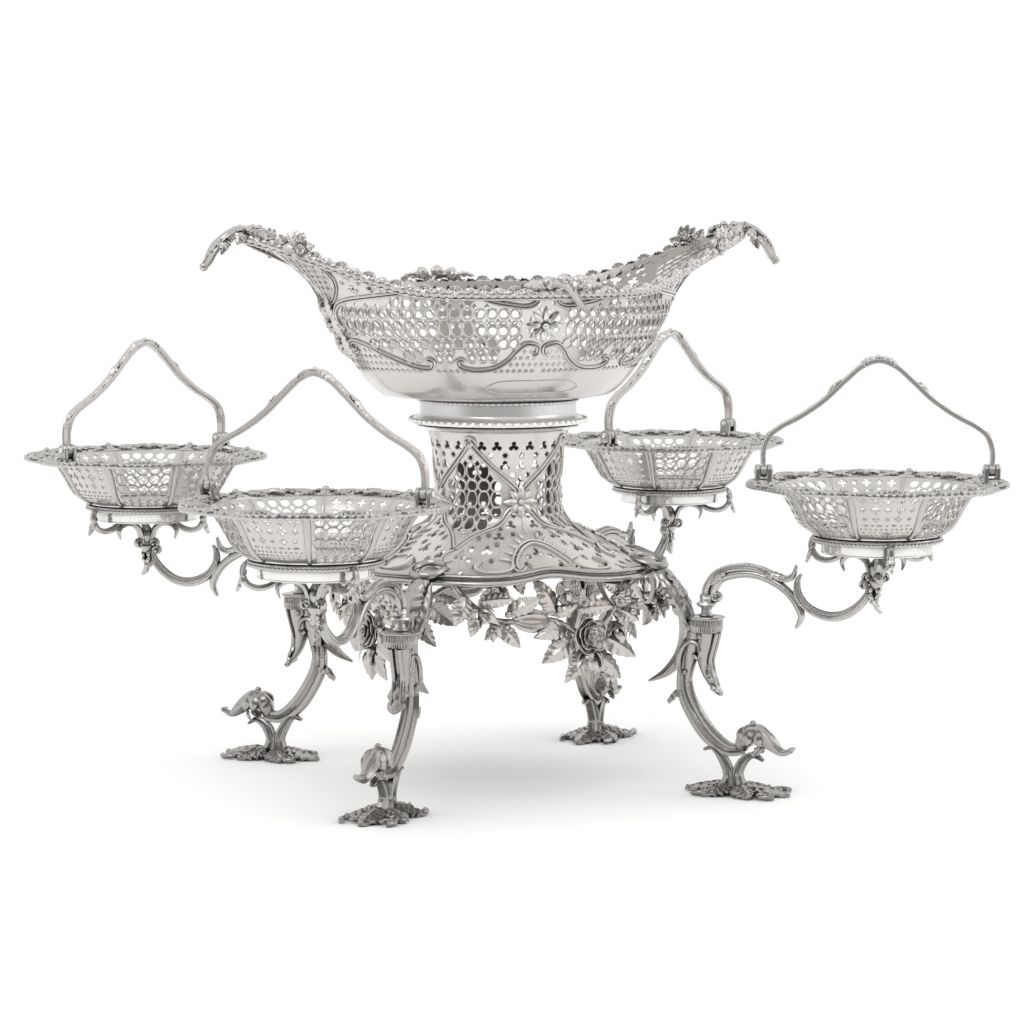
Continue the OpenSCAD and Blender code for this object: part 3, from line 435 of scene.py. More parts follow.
def wire(shape, surface, line, radius=0.9, lift=0.3, double=0.0, taper=True):
    """Lays a raised wire, or two side by side, along a flat line on a surface."""
    line = np.asarray(line, float)
    u, v = line.T
    normal = surface_normal(surface, u, v)
    path = surface(u, v)
    size = np.full(len(line), float(radius))
    if taper:
        order = np.arange(len(line))
        size *= np.clip(np.minimum(order, order[::-1]) / 4 + 0.35, 0, 1)
    side = unit(np.cross(np.gradient(path, axis=0), normal))
    for way in ((-1, 1) if double else (0,)):
        sweep(shape, path + normal * lift + side * way * double, oval(size, 0.8 * size, 8), normal)


# Materials

class Graph:
    """A node tree, with one call to add a node, set it and join its inputs."""

    def __init__(self, owner):
        owner.use_nodes = True
        self.nodes, self.links = owner.node_tree.nodes, owner.node_tree.links

    def fill(self, node, inputs):
        """Joins sockets to a node's inputs, or sets plain values there."""
        for name, value in inputs.items():
            if isinstance(value, bpy.types.NodeSocket):
                self.links.new(value, node.inputs[name])
            else:
                node.inputs[name].default_value = value

    def add(self, kind, inputs=None, **settings):
        node = self.nodes.new(kind)
        for name, value in settings.items():
            setattr(node, name, value)
        self.fill(node, inputs or {})
        return node


# The tint of tarnish and painted shade, their reach in creases and that of painted shade in hollows (in
# metres), and the fine patterns
TARNISH_AND_SHADE_TINT = (0.95, 0.88, 0.80)
CREASE, HOLLOW_SHADE_REACH = 0.004, 0.05
CLOUD_SCALE, GRAIN_SCALE = 70, 420
GRAIN_DEPTH, GRAIN_STRENGTH = 0.0004, 0.12
ROUGH_SPREAD = 0.14


def silver(name, tone, metal, patina_and_shade, rough, dent=0.0, hollow_shade=0.45, full_tone_from=0.95, inside=None):
    """Polished silver: bright on what stands out, tarnish and painted shade in creases, painted shade in
    hollows, and painted shade on inner faces if a tone is given.
    """
    material = bpy.data.materials.new(name)
    graph = Graph(material)
    place = graph.add("ShaderNodeTexCoord").outputs["Object"]
    # Short-reach occlusion marks creases for tarnish and painted shade; long-reach occlusion marks hollows
    # for painted shade
    near, far = (graph.add("ShaderNodeAmbientOcclusion", {"Distance": reach}, samples=5).outputs["AO"]
                 for reach in (CREASE, HOLLOW_SHADE_REACH))
    noise = graph.add("ShaderNodeTexNoise", {"Vector": place, "Scale": CLOUD_SCALE, "Detail": 5})
    cloud = noise.outputs["Fac"]
    # Tarnish and painted crease shade: darker where the short-reach occlusion is low, with a random cloud
    tarnish_and_crease_shade = graph.add("ShaderNodeMath", {0: cloud, 1: 0.35, 2: near}, operation="MULTIPLY_ADD")
    ramp = graph.add("ShaderNodeValToRGB", {"Fac": tarnish_and_crease_shade.outputs[0]})
    # The ramp runs from the dark of tarnish and painted shade to the silver's own tone
    dark, bright = ramp.color_ramp.elements
    dark.position = full_tone_from - 0.5
    dark.color = (*[c * patina_and_shade for c in TARNISH_AND_SHADE_TINT], 1)
    bright.position = full_tone_from
    bright.color = (*tone, 1)
    # Painted shade: the colour is darkened in hollows, under and inside parts, where the long-reach occlusion
    # is low
    room = graph.add("ShaderNodeMapRange",
                     {"Value": far, "From Min": 0.15, "From Max": 0.75, "To Min": hollow_shade})
    colour = graph.add("ShaderNodeVectorMath",
                       {0: ramp.outputs["Color"], "Scale": room.outputs["Result"]}, operation="SCALE")
    base = colour.outputs["Vector"]
    if inside:
        # Painted shade: a face that looks towards the upright axis is an inner one, and takes the given dark
        # tone
        normal = graph.add("ShaderNodeNewGeometry").outputs["True Normal"]
        level = graph.add("ShaderNodeVectorMath", {0: place, 1: (1, 1, 0)}, operation="MULTIPLY")
        look = graph.add("ShaderNodeVectorMath", {0: level.outputs["Vector"], 1: normal},
                         operation="DOT_PRODUCT")
        inner = graph.add("ShaderNodeMapRange",
                          {"Value": look.outputs["Value"], "From Min": -0.003, "From Max": -0.028})
        inner_shade = graph.add("ShaderNodeMix", {"Factor": inner.outputs["Result"], 4: base, 5: inside},
                         data_type="VECTOR")
        base = inner_shade.outputs[1]
    gloss = graph.add("ShaderNodeMapRange", {"Value": cloud, "From Min": 0.3, "From Max": 0.75,
                                             "To Min": rough, "To Max": rough + ROUGH_SPREAD})
    grain = graph.add("ShaderNodeTexNoise", {"Vector": place, "Scale": GRAIN_SCALE, "Detail": 3})
    bump = graph.add("ShaderNodeBump", {"Height": grain.outputs["Fac"], "Strength": GRAIN_STRENGTH + dent,
                                        "Distance": GRAIN_DEPTH})
    graph.fill(graph.nodes["Principled BSDF"],
               {"Base Color": base, "Metallic": metal, "Roughness": gloss.outputs["Result"],
                "Normal": bump.outputs["Normal"]})
    return material


PLAIN = silver("plain_silver", (0.78, 0.765, 0.75), metal=0.85, patina_and_shade=0.34, rough=0.09)
CAST = silver("cast_silver", (0.51, 0.495, 0.48), metal=0.92, patina_and_shade=0.12, rough=0.12, dent=0.15, full_tone_from=0.8)
# A brighter copy of plain silver for the centre foot: its tone is painted light, standing in for the bright
# reflections on the band
LIT_FOOT_SILVER = silver("lit_foot_silver", (0.84, 0.825, 0.81), metal=0.6, patina_and_shade=0.34, rough=0.1)
# A darker copy of cast silver for the legs, sockets and pads: its tone is painted shade, standing in for the
# shade and dark reflections they get
SHADED_LEG_SILVER = silver("shaded_leg_silver", (0.42, 0.405, 0.39), metal=0.92, patina_and_shade=0.1, rough=0.13, dent=0.15,
                    hollow_shade=0.5, full_tone_from=0.8)
PIERCED = silver("pierced_silver", (0.58, 0.56, 0.54), metal=0.75, patina_and_shade=0.2, rough=0.14, dent=0.05,
                 hollow_shade=0.7, full_tone_from=0.8)
# The stem's inner faces take a dark tone of painted shade
STEM_SILVER = silver("stem_silver", (0.66, 0.635, 0.61), metal=0.5, patina_and_shade=0.26, rough=0.2, dent=0.08,
                     hollow_shade=0.75, full_tone_from=0.75, inside=(0.13, 0.12, 0.11))
# The bowl's inner faces take a dark tone of painted shade
BOWL_SILVER = silver("bowl_silver", (0.64, 0.62, 0.60), metal=0.75, patina_and_shade=0.24, rough=0.13, dent=0.05,
                     hollow_shade=0.7, full_tone_from=0.7, inside=(0.36, 0.34, 0.32))
FOLIAGE = silver("foliage_silver", (0.57, 0.54, 0.51), metal=0.88, patina_and_shade=0.16, rough=0.17, dent=0.3,
                 hollow_shade=0.5, full_tone_from=0.8)
SLOTS = {"plain_silver": PLAIN, "cast_silver": CAST, "pierced_silver": PIERCED}
for part in frame["record"]["subparts"]:
    mesh = frame["nodes"][part["node"]].data
    mesh.materials.clear()
    mesh.materials.append(SLOTS[part["material_slot"]])


def piece(name, shape, body, slot, *nodes, turn=0, at=(0, 0), look=None):
    """Makes a Blender piece of a shape, turned about Z and set at a place, in place of CAD nodes."""
    mesh = bpy.data.meshes.new(name)
    points = (turned(shape.all_points(), turn) + (at[0], at[1], 0)) * MM
    mesh.from_pydata(points.tolist(), [], shape.faces)
    grid = bmesh.new()
    grid.from_mesh(mesh)
    bmesh.ops.recalc_face_normals(grid, faces=grid.faces)
    grid.to_mesh(mesh)
    grid.free()
    mesh.polygons.foreach_set("use_smooth", [True] * len(mesh.polygons))
    mesh.set_sharp_from_angle(angle=SHARP_ANGLE)
    mesh.materials.append(look or SLOTS[slot])
    made = bpy.data.objects.new(name, mesh)
    bpy.context.scene.collection.objects.link(made)
    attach(made, body)
    if nodes:
        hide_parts(*nodes)
    return made


# Stem and skirt: one pierced wall of four alike sectors, with crossing straps

STEM_PROFILE = smooth([(107, 147), (97, 149.6), (84, 154), (72, 158.4), (60, 163), (52, 166.6), (48, 170),
                       (45, 175), (43, 181), (42, 190), (42, 200), (43, 214), (45, 226), (48, 238)])
STEM_RUN = run_of(STEM_PROFILE)
STEM_U = 48 * math.pi / 180
MEAN_EDGE_R = 107
EDGE_RISE = 3.6
SKIRT_RUN = 52


def off_side(a):
    """The angle from the middle of the nearest side, in degrees."""
    return (a + 45) % 90 - 45


def edge_r(a):
    """The skirt's wavy edge by the angle in degrees."""
    return MEAN_EDGE_R + 5 * np.cos(np.radians(4 * (a - 45))) - 3 * np.cos(np.radians(8 * (a - 45)))


def edge_lift(a):
    """How far the edge rises at the middle of each side, by the angle in degrees."""
    return EDGE_RISE * np.exp(-(off_side(a) / 12)**2)


def run_at(z):
    return np.interp(z, STEM_PROFILE[:, 1], STEM_RUN)


def stem_surface(u, v):
    """Flat place (angle from the front in mm, run up the profile) to a point of the wall."""
    a = u / STEM_U
    near_edge = np.clip(1 - v / SKIRT_RUN, 0, 1)**2
    r = np.interp(v, STEM_RUN, STEM_PROFILE[:, 0]) + (edge_r(a) - MEAN_EDGE_R) * near_edge
    z = np.interp(v, STEM_RUN, STEM_PROFILE[:, 1]) + edge_lift(a) * near_edge
    # The skirt swells half-way up and under each side's arch
    z = z + 6 * np.exp(-((v - 56) / 26)**2)
    z = z + 3 * np.exp(-(off_side(a) / 9)**2 - ((v - 20) / 11)**2)
    return around(r, np.radians(a - 90), z)


FLOWER_Z = 190
SKIRT_TOP = 166
DIAGONAL = 45
UPPER_STRAP = smooth([(0, 193), (3, 198.5), (6.7, 202), (12.7, 206.4), (26.7, 216), (38.8, 226),
                      (44.4, 232)], 6)
LOWER_STRAP = smooth([(0, 188), (6, 185.5), (11.7, 181.4), (17, 174.2), (22.6, 170.2), (29.6, 167.2),
                      (38.8, 163), (44.4, 158.8)], 6)


def strap_at(z):
    """The angle of a strap's middle at a height."""
    strap = UPPER_STRAP if z > FLOWER_Z else LOWER_STRAP[::-1]
    return np.interp(z, strap[:, 1], strap[:, 0])


def sector_holes():
    """A sector's openings as (angle, height, outline): ringed ones of the lattices, and plain ones."""
    ringed, plain = [], []

    def add(holes, a, z, outline):
        holes.extend((way * a, z, outline) for way in ((1,) if a in (0, DIAGONAL) else (-1, 1)))

    tall, circle = ellipse(3.45, 5.3, 16), ellipse(3.4, 3.4, 16)
    for z, outline in ((221.4, ellipse(1.7, 1.7, 16)), (212.4, tall), (201.9, circle), (191.8, tall),
                       (181.8, circle), (172.2, tall), (164.8, ellipse(1.9, 1.7, 16))):
        for a in (DIAGONAL, 33.5, 22):
            if a - 6.2 > strap_at(z):
                add(ringed, a, z, outline)
    for z in (217, 207.2, 196.9, 186.8, 177, 168.2):
        for a in (39.2, 27.8):
            if a - 4 > strap_at(z):
                add(plain, a, z, lozenge(4.4, 5.8))
    # Trefoils, then stars; on the skirt they are drawn out towards its edge
    for z, angles in ((229, (7.2, 21.6, 34.5)), (216, (0, 14.4)), (205, (0,)), (171.6, (10,)), (164.4, (20,)),
                      (158.8, (26.5,)), (149.6, (35.5, 25)), (157.2, (0,)), (151.2, (8,)), (156.8, (39.6,))):
        for a in angles:
            add(plain, a, z, foil(3.7, 3) if z > SKIRT_TOP else foil(3.7, 3) * (1.12, 1.7))
    for z, angles in ((223, (0, 14.4, 27)), (209.6, (7,)), (179, (7,)), (168.8, (18.6,)), (165.4, (10,)),
                      (159, (35,)), (163.1, (33,)), (155.2, (5.6,)), (155, (34.5, 23.6)), (152.5, (30.5,)),
                      (164.8, (27,)), (160.8, (21.2,)), (151, (41.5,))):
        for a in angles:
            add(plain, a, z, star(2.8) if z > SKIRT_TOP else star(2.7) * (1.1, 1.7))
    return ringed, plain


def saw_sector(sector):
    """The pierced sheet of a sector, and the rings round its lattices' holes."""
    ringed, plain = sector_holes()
    reach, top = DIAGONAL * STEM_U, STEM_RUN[-1]
    # The diagonals run through holes, so half of each is a notch in the sector's edge
    side = flat(reach, np.linspace(0, top, 40))
    holes = []
    for a, z, outline in ringed + plain:
        hole = sawn(stem_surface, a * STEM_U, run_at(z), outline)
        if a == DIAGONAL:
            half = hole[12:3:-1]
            below, above = side[:, 1] < half[0, 1] - 0.6, side[:, 1] > half[-1, 1] + 0.6
            side = np.vstack([side[below], half, side[above]])
        else:
            holes.append(hole)
    across = np.linspace(-reach, reach, 31)[1:-1]
    outline = np.vstack([flat(across, 0), side, flat(across[::-1], top), side[::-1] * (-1, 1)])
    cut_sheet(sector, outline, holes, stem_surface)
    for a, z, outline in ringed:
        hole_rim(sector, stem_surface, sawn(stem_surface, a * STEM_U, run_at(z), outline), 0.6)


def lay_stem_wires(sector):
    """The crossing straps and the scrolls, drawn by (angle, height)."""

    def lay(line, *sizes, way=1, taper=True):
        places = flat(way * line[:, 0] * STEM_U, run_at(line[:, 1]))
        wire(sector, stem_surface, places, *sizes, taper=taper)

    scroll = smooth([(28, 154.6), (29.6, 151.6), (26, 149.4), (20, 149), (16, 150), (13.4, 152)], 6)
    for way in (-1, 1):
        for strap in (UPPER_STRAP, LOWER_STRAP):
            lay(strap, 1.05, 0.5, 1.15, way=way, taper=False)
        # A C-scroll and fan ribs beside the arch on the skirt
        lay(scroll, 2, 1, way=way)
        for k in range(5):
            rib = smooth([(13.4 - 2.2 * k, 154 + 2.2 * k), (20.4 - 3.2 * k, 155.4 + 2.6 * k)], 6)
            lay(rib, 1.7, 0.5, way=way)
    curl = spiral((-DIAGONAL * STEM_U, run_at(231.4)), 5, 1.4, -10, 440, 34)
    wire(sector, stem_surface, curl, 1.2, 0.5)
    hook = smooth([(1, 158.8), (-3, 156.4), (-1, 153.6), (3, 154.6)], 6) - (DIAGONAL, 0)
    lay(hook, 1.1, 0.4)
    stalk = smooth([(0, 186), (1.4, 180), (1, 174), (-0.6, 169), (-0.6, 165)], 6)
    lay(stalk, 0.8, 0.2)
    arch = mirrored([(9.4, 151), (11.4, 149.4), (13.2, 151), (12.4, 155), (8, 159.2), (0, 161.2)])
    lay(smooth(arch, 6), 1.35, 0.9, 1.5)


def add_stem_flower(sector):
    """The eight-petalled flower where the straps cross."""
    middle = stem_surface(0.0, run_at(FLOWER_Z))
    heart = middle + (0, -1.6, 0)
    for k, a in enumerate(round_angles(8)):
        way = vec(np.cos(a), 0, np.sin(a))
        tip = heart + way * (12.4 if k % 2 == 0 else 11) + (0, 1.6 * np.cos(a)**2, 0)
        leaf(sector, heart + way * 1.8, tip, (0, -1, 0), 4.8, 0, arch=0.16, thick=1.8, cup=0.4)
    ball(sector, middle + (0, -2.2, 0), 2.2)


def make_stem():
    """The pierced wall: four alike sectors that meet on the diagonals."""
    sector, whole = Shape(), Shape()
    saw_sector(sector)
    lay_stem_wires(sector)
    add_stem_flower(sector)
    whole.add_copies(sector, 4)
    piece("stem_and_skirt", whole, "frame", "pierced_silver", "stem", "skirt", look=STEM_SILVER)


def make_moulding():
    """The moulded edge of the skirt, a stepped section swept round the wavy edge."""
    a = np.arange(0, 360, 1.5)
    path = around(edge_r(a + 90), np.radians(a), SKIRT_Z + edge_lift(a + 90))
    section = pairs(4, 0.4, 3.9, 3.2, 3.4, 3.9, 2.7, 4.1, 2.1, 3.7, 1.9, 2.9, 1.2, 2.2, 0.4, 2.4, 0, 3.4,
                    -0.7, 4.6, -1.6, 5, -2.5, 4.5, -2.9, 3.5, -3, 2.6, -3.6, 2.4, -4, 1.6, -4, 0.2, 0, 0)
    shape = Shape()
    sweep(shape, path, section, (0, 0, 1), closed=True)
    piece("skirt_moulding_cast", shape, "frame", "plain_silver", "skirt_moulding", look=CAST)


def round_form(shape, rows, a, middle=0.0):
    """A closed form about an upright axis: rows of (radius, height), where a radius may vary by the angle."""
    points = np.stack([around(r, a, z) for r, z in rows], 1) + (middle, 0, 0)
    shape.add(points, grid_faces(len(a), len(rows), True)[:, ::-1])


def ring_of(shape, profile, steps=160):
    """A turned form about Z: profile rows are (radius, height), a closed loop or from axis to axis."""
    a = round_angles(steps)
    profile = np.asarray(profile, float)
    body = profile[profile[:, 0] > 0]
    n = len(body)
    if n == len(profile):
        round_form(shape, profile, a)
        return
    points = around(body[:, 0], a[:, None], body[:, 1])
    k = np.arange(steps) * n
    after = np.roll(k, -1)
    start = np.stack([k, after, np.full(steps, steps * n)], -1)
    end = np.stack([after + n - 1, k + n - 1, np.full(steps, steps * n + 1)], -1)
    points = np.vstack([points.reshape(-1, 3), around(np.zeros(2), 0, profile[[0, -1], 1])])
    shape.add(points, grid_faces(steps, n, True, False)[:, ::-1], start, end)


def make_collar():
    shape = Shape()
    ring_of(shape, [(42, 238.2), (48.6, 238.0), (49.5, 238.6), (50.2, 239.2), (52.5, 239.6), (54.4, 240.2),
                    (55, 240.9), (54.6, 241.5), (53.4, 241.8), (54.2, 242.1), (54.0, 242.5), (47, 242.5),
                    (46.9, 245.4), (45.6, 245.4), (45.4, 242.5), (42, 242.5)])
    piece("stem_collar_turned", shape, "frame", "plain_silver", "stem_collar")


# Forms in an upright plane

def plane(rows, y=0.0):
    """Rows of (reach, height) to points in the upright plane of a leg, branch or bail."""
    rows = np.asarray(rows, float)
    return np.column_stack([rows[:, 0], np.full(len(rows), y), rows[:, 1]])


def bar(shape, rows, reeds=0, depth=0.0, y=0.0, steps=6):
    """A cast bar through rows of (reach, height, half width, half thickness)."""
    line = smooth(rows, steps)
    sweep(shape, plane(line[:, :2], y), oval(line[:, 2], line[:, 3], max(16, 4 * reeds), reeds, depth))


def volute(shape, centre, start_r, end_r, start, turn, size, wide):
    """A rolled scroll end: a spiral bar that thins towards its eye."""
    line = spiral(centre, start_r, end_r, start, turn, 26)
    t = np.linspace(1, 0.55, len(line))
    sweep(shape, plane(line), oval(wide * t, size * t, 10))
    eye = line[-1]
    revolved(shape, (eye[0], -wide * 0.8, eye[1]), (eye[0], wide * 0.8, eye[1]),
             [(0, 0.4 * size), (0.12, 0.9 * size), (0.88, 0.9 * size), (1, 0.4 * size)], 10)


# Legs, sockets and foot pads

PAD_R = 177


def leg_scrolls(shape):
    """The upper scroll with its free tail, the lower one that carries the head, and the sheath."""
    bar(shape, [(117, 151, 4.6, 4), (128, 133, 6, 5.2), (137, 120, 6.4, 5.6), (138, 105, 6, 5.2),
                (134, 91, 5.2, 4.6), (124, 79, 4, 3.4), (111, 72, 1, 0.8)], 6, 0.2)
    bar(shape, [(139, 98, 4.8, 4.2), (136.8, 82, 5.6, 5), (137.4, 67, 6.2, 5.8), (143.5, 53.5, 6.4, 6),
                (154, 39, 6.4, 6), (167, 30, 6, 5), (179, 30, 4.6, 3.8)], 6, 0.38)
    # The channelled sheath under the socket, its web to the scroll and its lobed free tip
    bar(shape, [(152.5, 108, 8, 8.6), (151.6, 99, 7, 7.4), (150.6, 90, 6, 5.8), (152.2, 81, 5, 4),
                (156.4, 73, 4, 2.6), (161, 67.6, 1, 0.8)], 2, 0.2)
    bar(shape, [(144, 107, 5.6, 6.4), (142, 95, 5.6, 5.6), (140, 84, 5, 4), (139, 74, 3.6, 2.6)])
    leaf(shape, (155, 0, 92), (162.8, 0, 66), (1, 0, 0.35), 13, 3, arch=-0.04, roll=0.04, thick=2, cup=0.2,
         blunt=True)
    leaf(shape, (143.5, 0, 112), (118, 0, 151), (0.8, 0, 0.6), 15, 6, arch=0.1, roll=0.06, thick=2.4)


def leg_side(shape, way):
    """What the leg has on each side: a bead along the sheath, a leaf, an arch, and petals of the head."""
    bar(shape, [(160.4, 107, 1.5, 1.4), (158.2, 98, 1.5, 1.4), (156, 89, 1.4, 1.3), (156.8, 80, 1.3, 1.2),
                (160.6, 71, 0.8, 0.6)], y=way * 3)
    leaf(shape, (141, way * 4.5, 111), (121, way * 7, 146), (0.35, way, 0.35), 9, 5, arch=0.12, thick=1.6)
    arch = smooth([(134.5, 82), (135, 91), (138.5, 98.4), (143.6, 101), (148.2, 99), (150, 94), (148, 90),
                   (145, 92)], 6)
    size = np.linspace(1, 0.6, len(arch))
    sweep(shape, plane(arch, way * 5.4), oval(2.6 * size, 2.1 * size, 10))
    ball(shape, (150, way * 7, 104.6), 2)
    ball(shape, (139, way * 5.4, 80), 1.9)
    # Petals that hang from the head's crest, and its side curl
    for x, to_x, to_z, reach in ((182, 178, 37, 7.4), (185.4, 184.6, 34.6, 9.8), (188.6, 192.4, 34, 8.2)):
        leaf(shape, (x, way * 2, 47), (to_x, way * reach, to_z), (0, way, 0.5), 6.8, 0, arch=0.22, thick=1.8,
             cup=0.3, blunt=True)
    leaf(shape, (193, way * 2.5, 33), (188, way * 8.5, 27.5), (0.2, way, -0.6), 6, 3, arch=0.1, thick=1.2)


def leg_loop(shape):
    """The loop over the skirt's corner, with its oval eye."""
    a = np.radians(np.arange(0, 360, 10))
    ring = np.column_stack([110.5 + 11.5 * np.cos(a), 10.5 * np.sin(a), 153.4 - 3.2 * np.cos(a)])
    sweep(shape, ring, oval(2.5, 2.2, 16, 4, 0.2), (0.3, 0, 1), closed=True)
    revolved(shape, (109.8, 0, 150.6), (111.2, 0, 155.4),
             [(0, 8), (0.3, 7.4), (0.6, 5.8), (0.85, 3.4), (1, 0.8)], 20)


def leg_head(shape):
    """The spur, the hooded head with its crest, and the rolled lip."""
    leaf(shape, (140, 0, 68), (125.5, 0, 58.5), (-0.2, 0, 1), 9, 3, arch=0.22, roll=0.1, thick=3)
    bar(shape, [(177, 30, 4.4, 3.8), (178.6, 35, 7, 6), (182.6, 39.6, 8.6, 7.2), (188.4, 41, 8.4, 6.8),
                (194, 37.8, 6.6, 5.6), (200, 32.8, 4.6, 3.8), (206.4, 29.6, 3.8, 2.6),
                (212.4, 31.4, 3.6, 1.7)], 5, 0.14)
    leaf(shape, (190, 0, 47.4), (207, 0, 32), (0.5, 0, 0.9), 8, 0, arch=0.06, thick=1.6, cup=0.3)
    ball(shape, (185.4, 0, 47.6), 2.4)
    revolved(shape, (212.6, -3.8, 32.2), (212.6, 3.8, 32.2),
             [(0, 0.8), (0.15, 1.7), (0.85, 1.7), (1, 0.8)], 12)


def leg_strut(shape):
    """The forked strut: two fluted columns that grow together, with outward leaf tips."""
    bar(shape, [(151, 28.4, 2.4, 1), (158, 30.2, 4.6, 2.2), (164.5, 23, 4.8, 3.4), (168.6, 13, 5, 3.8),
                (166, 3, 6.6, 4.8)], 6, 0.24)
    bar(shape, [(193, 23.4, 2.4, 1), (186, 26.8, 4.6, 2.2), (179, 22.5, 4.8, 3.4), (174.8, 13, 5, 3.8),
                (178, 3, 6.6, 4.8)], 6, 0.24)
    bar(shape, [(171.6, 17.4, 2.4, 2), (171.8, 10, 4, 3.6), (172, 2.6, 6, 5)])


def leg_shape():
    """One cast leg, drawn in its upright plane."""
    shape = Shape()
    leg_scrolls(shape)
    for way in (-1, 1):
        leg_side(shape, way)
    leg_loop(shape)
    leg_head(shape)
    leg_strut(shape)
    return shape


def socket_shape():
    """A canted block with a fluted fringe and a thin lip, bored for the branch's pin."""
    a = round_angles(288)
    reach = np.where(np.arange(8) % 2 == 0, 10, 11.3)
    edge = (reach / np.maximum(np.cos(a[:, None] - round_angles(8)), 0.05)).min(1)
    flute = 0.9 * (0.5 - 0.5 * np.cos(36 * a))
    bore = 4.15
    shape = Shape()
    rows = [(edge - 1.9 - flute, 107), (edge - 0.8 - flute, 107.6), (edge - 0.4 - 0.9 * flute, 111),
            (edge - 0.5 - 0.7 * flute, 115), (edge - 0.9, 115.4), (edge + 0.5, 115.8), (edge + 0.9, 116.4),
            (edge + 0.9, 117.4), (edge + 0.4, 118), (bore + 2, 118), (bore, 117.7), (bore, 107)]
    round_form(shape, rows, a, SOCKET_R)
    return shape


def pad_shape():
    """A leafy openwork foot: flat leaves and scrolls round the strut, with small mounds."""
    shape = Shape()
    strut = vec(PAD_R - 3, 0, 0)
    for turn, length, width in ((0, 37, 19), (180, 36, 19), (52, 27, 17), (-52, 27, 17), (128, 27, 17),
                                (-128, 27, 17)):
        way = direction(turn)
        start = strut + way * 5 + (0, 0, 6)
        leaf(shape, start, strut + way * length + (0, 0, 2.4), (0, 0, 1), width, 5, arch=0.05, thick=1.8,
             cup=0.25)
        leaf(shape, start + (0, 0, 1), strut + way * length * 0.66 + (0, 0, 4.4), (0, 0, 1), width * 0.6, 4,
             arch=0.1, thick=1.6, cup=0.3)
        ball(shape, strut + way * (length - 1.5) + (0, 0, 2.4), 1.8, 10)
    for x in (-1, 1):
        for y in (-1, 1):
            line = spiral((PAD_R + 22 * x, 12 * y), 7.6, 2.2, 90 - 90 * x + 30 * x * y, 330 * x * y, 26)
            path = np.column_stack([line, np.full(26, 2.3)])
            sweep(shape, path, oval(np.linspace(1.9, 1.2, 26), points=10), (0, 0, 1))
            ball(shape, (PAD_R + 8 * x - 3, 9 * y, 3.4), 2.4, 10)
    for k in range(9):
        ball(shape, direction(40 * k + 12) * (10.5, 9, 0) + (PAD_R - 4, 0, 3.8), 1.6, 8)
    for points in shape.points:
        points[:, 2] = np.maximum(points[:, 2], 0.05)
    return shape


def make_legs():
    leg, socket, pad = leg_shape(), socket_shape(), pad_shape()
    sockets, pads = Shape(), Shape()
    for corner, turn in CORNERS.items():
        name = "leg_" + corner
        piece(name + "_cast", leg, "frame", "cast_silver", name, turn=turn, look=SHADED_LEG_SILVER)
        sockets.add_copy(socket, turn)
        pads.add_copy(pad, turn)
    piece("sockets_fluted", sockets, "frame", "cast_silver", "sockets", look=SHADED_LEG_SILVER)
    piece("foot_pads_leafy", pads, "frame", "cast_silver", "foot_pads", look=SHADED_LEG_SILVER)


# Branches: pin, arm and cradle, drawn from the socket's axis outwards

def spigot_shape():
    shape = Shape()
    ring_of(shape, [(0, 109.2), (3.9, 109.2), (3.95, 118.1), (4.9, 118.3), (4.9, 119.5), (3.7, 120.2),
                    (3.4, 122.6), (4.4, 124), (6.4, 125), (6.9, 126), (6.4, 127), (4.9, 127.5), (4.3, 129),
                    (4.7, 130.5), (4.4, 132.5), (0, 132.5)], 40)
    return shape


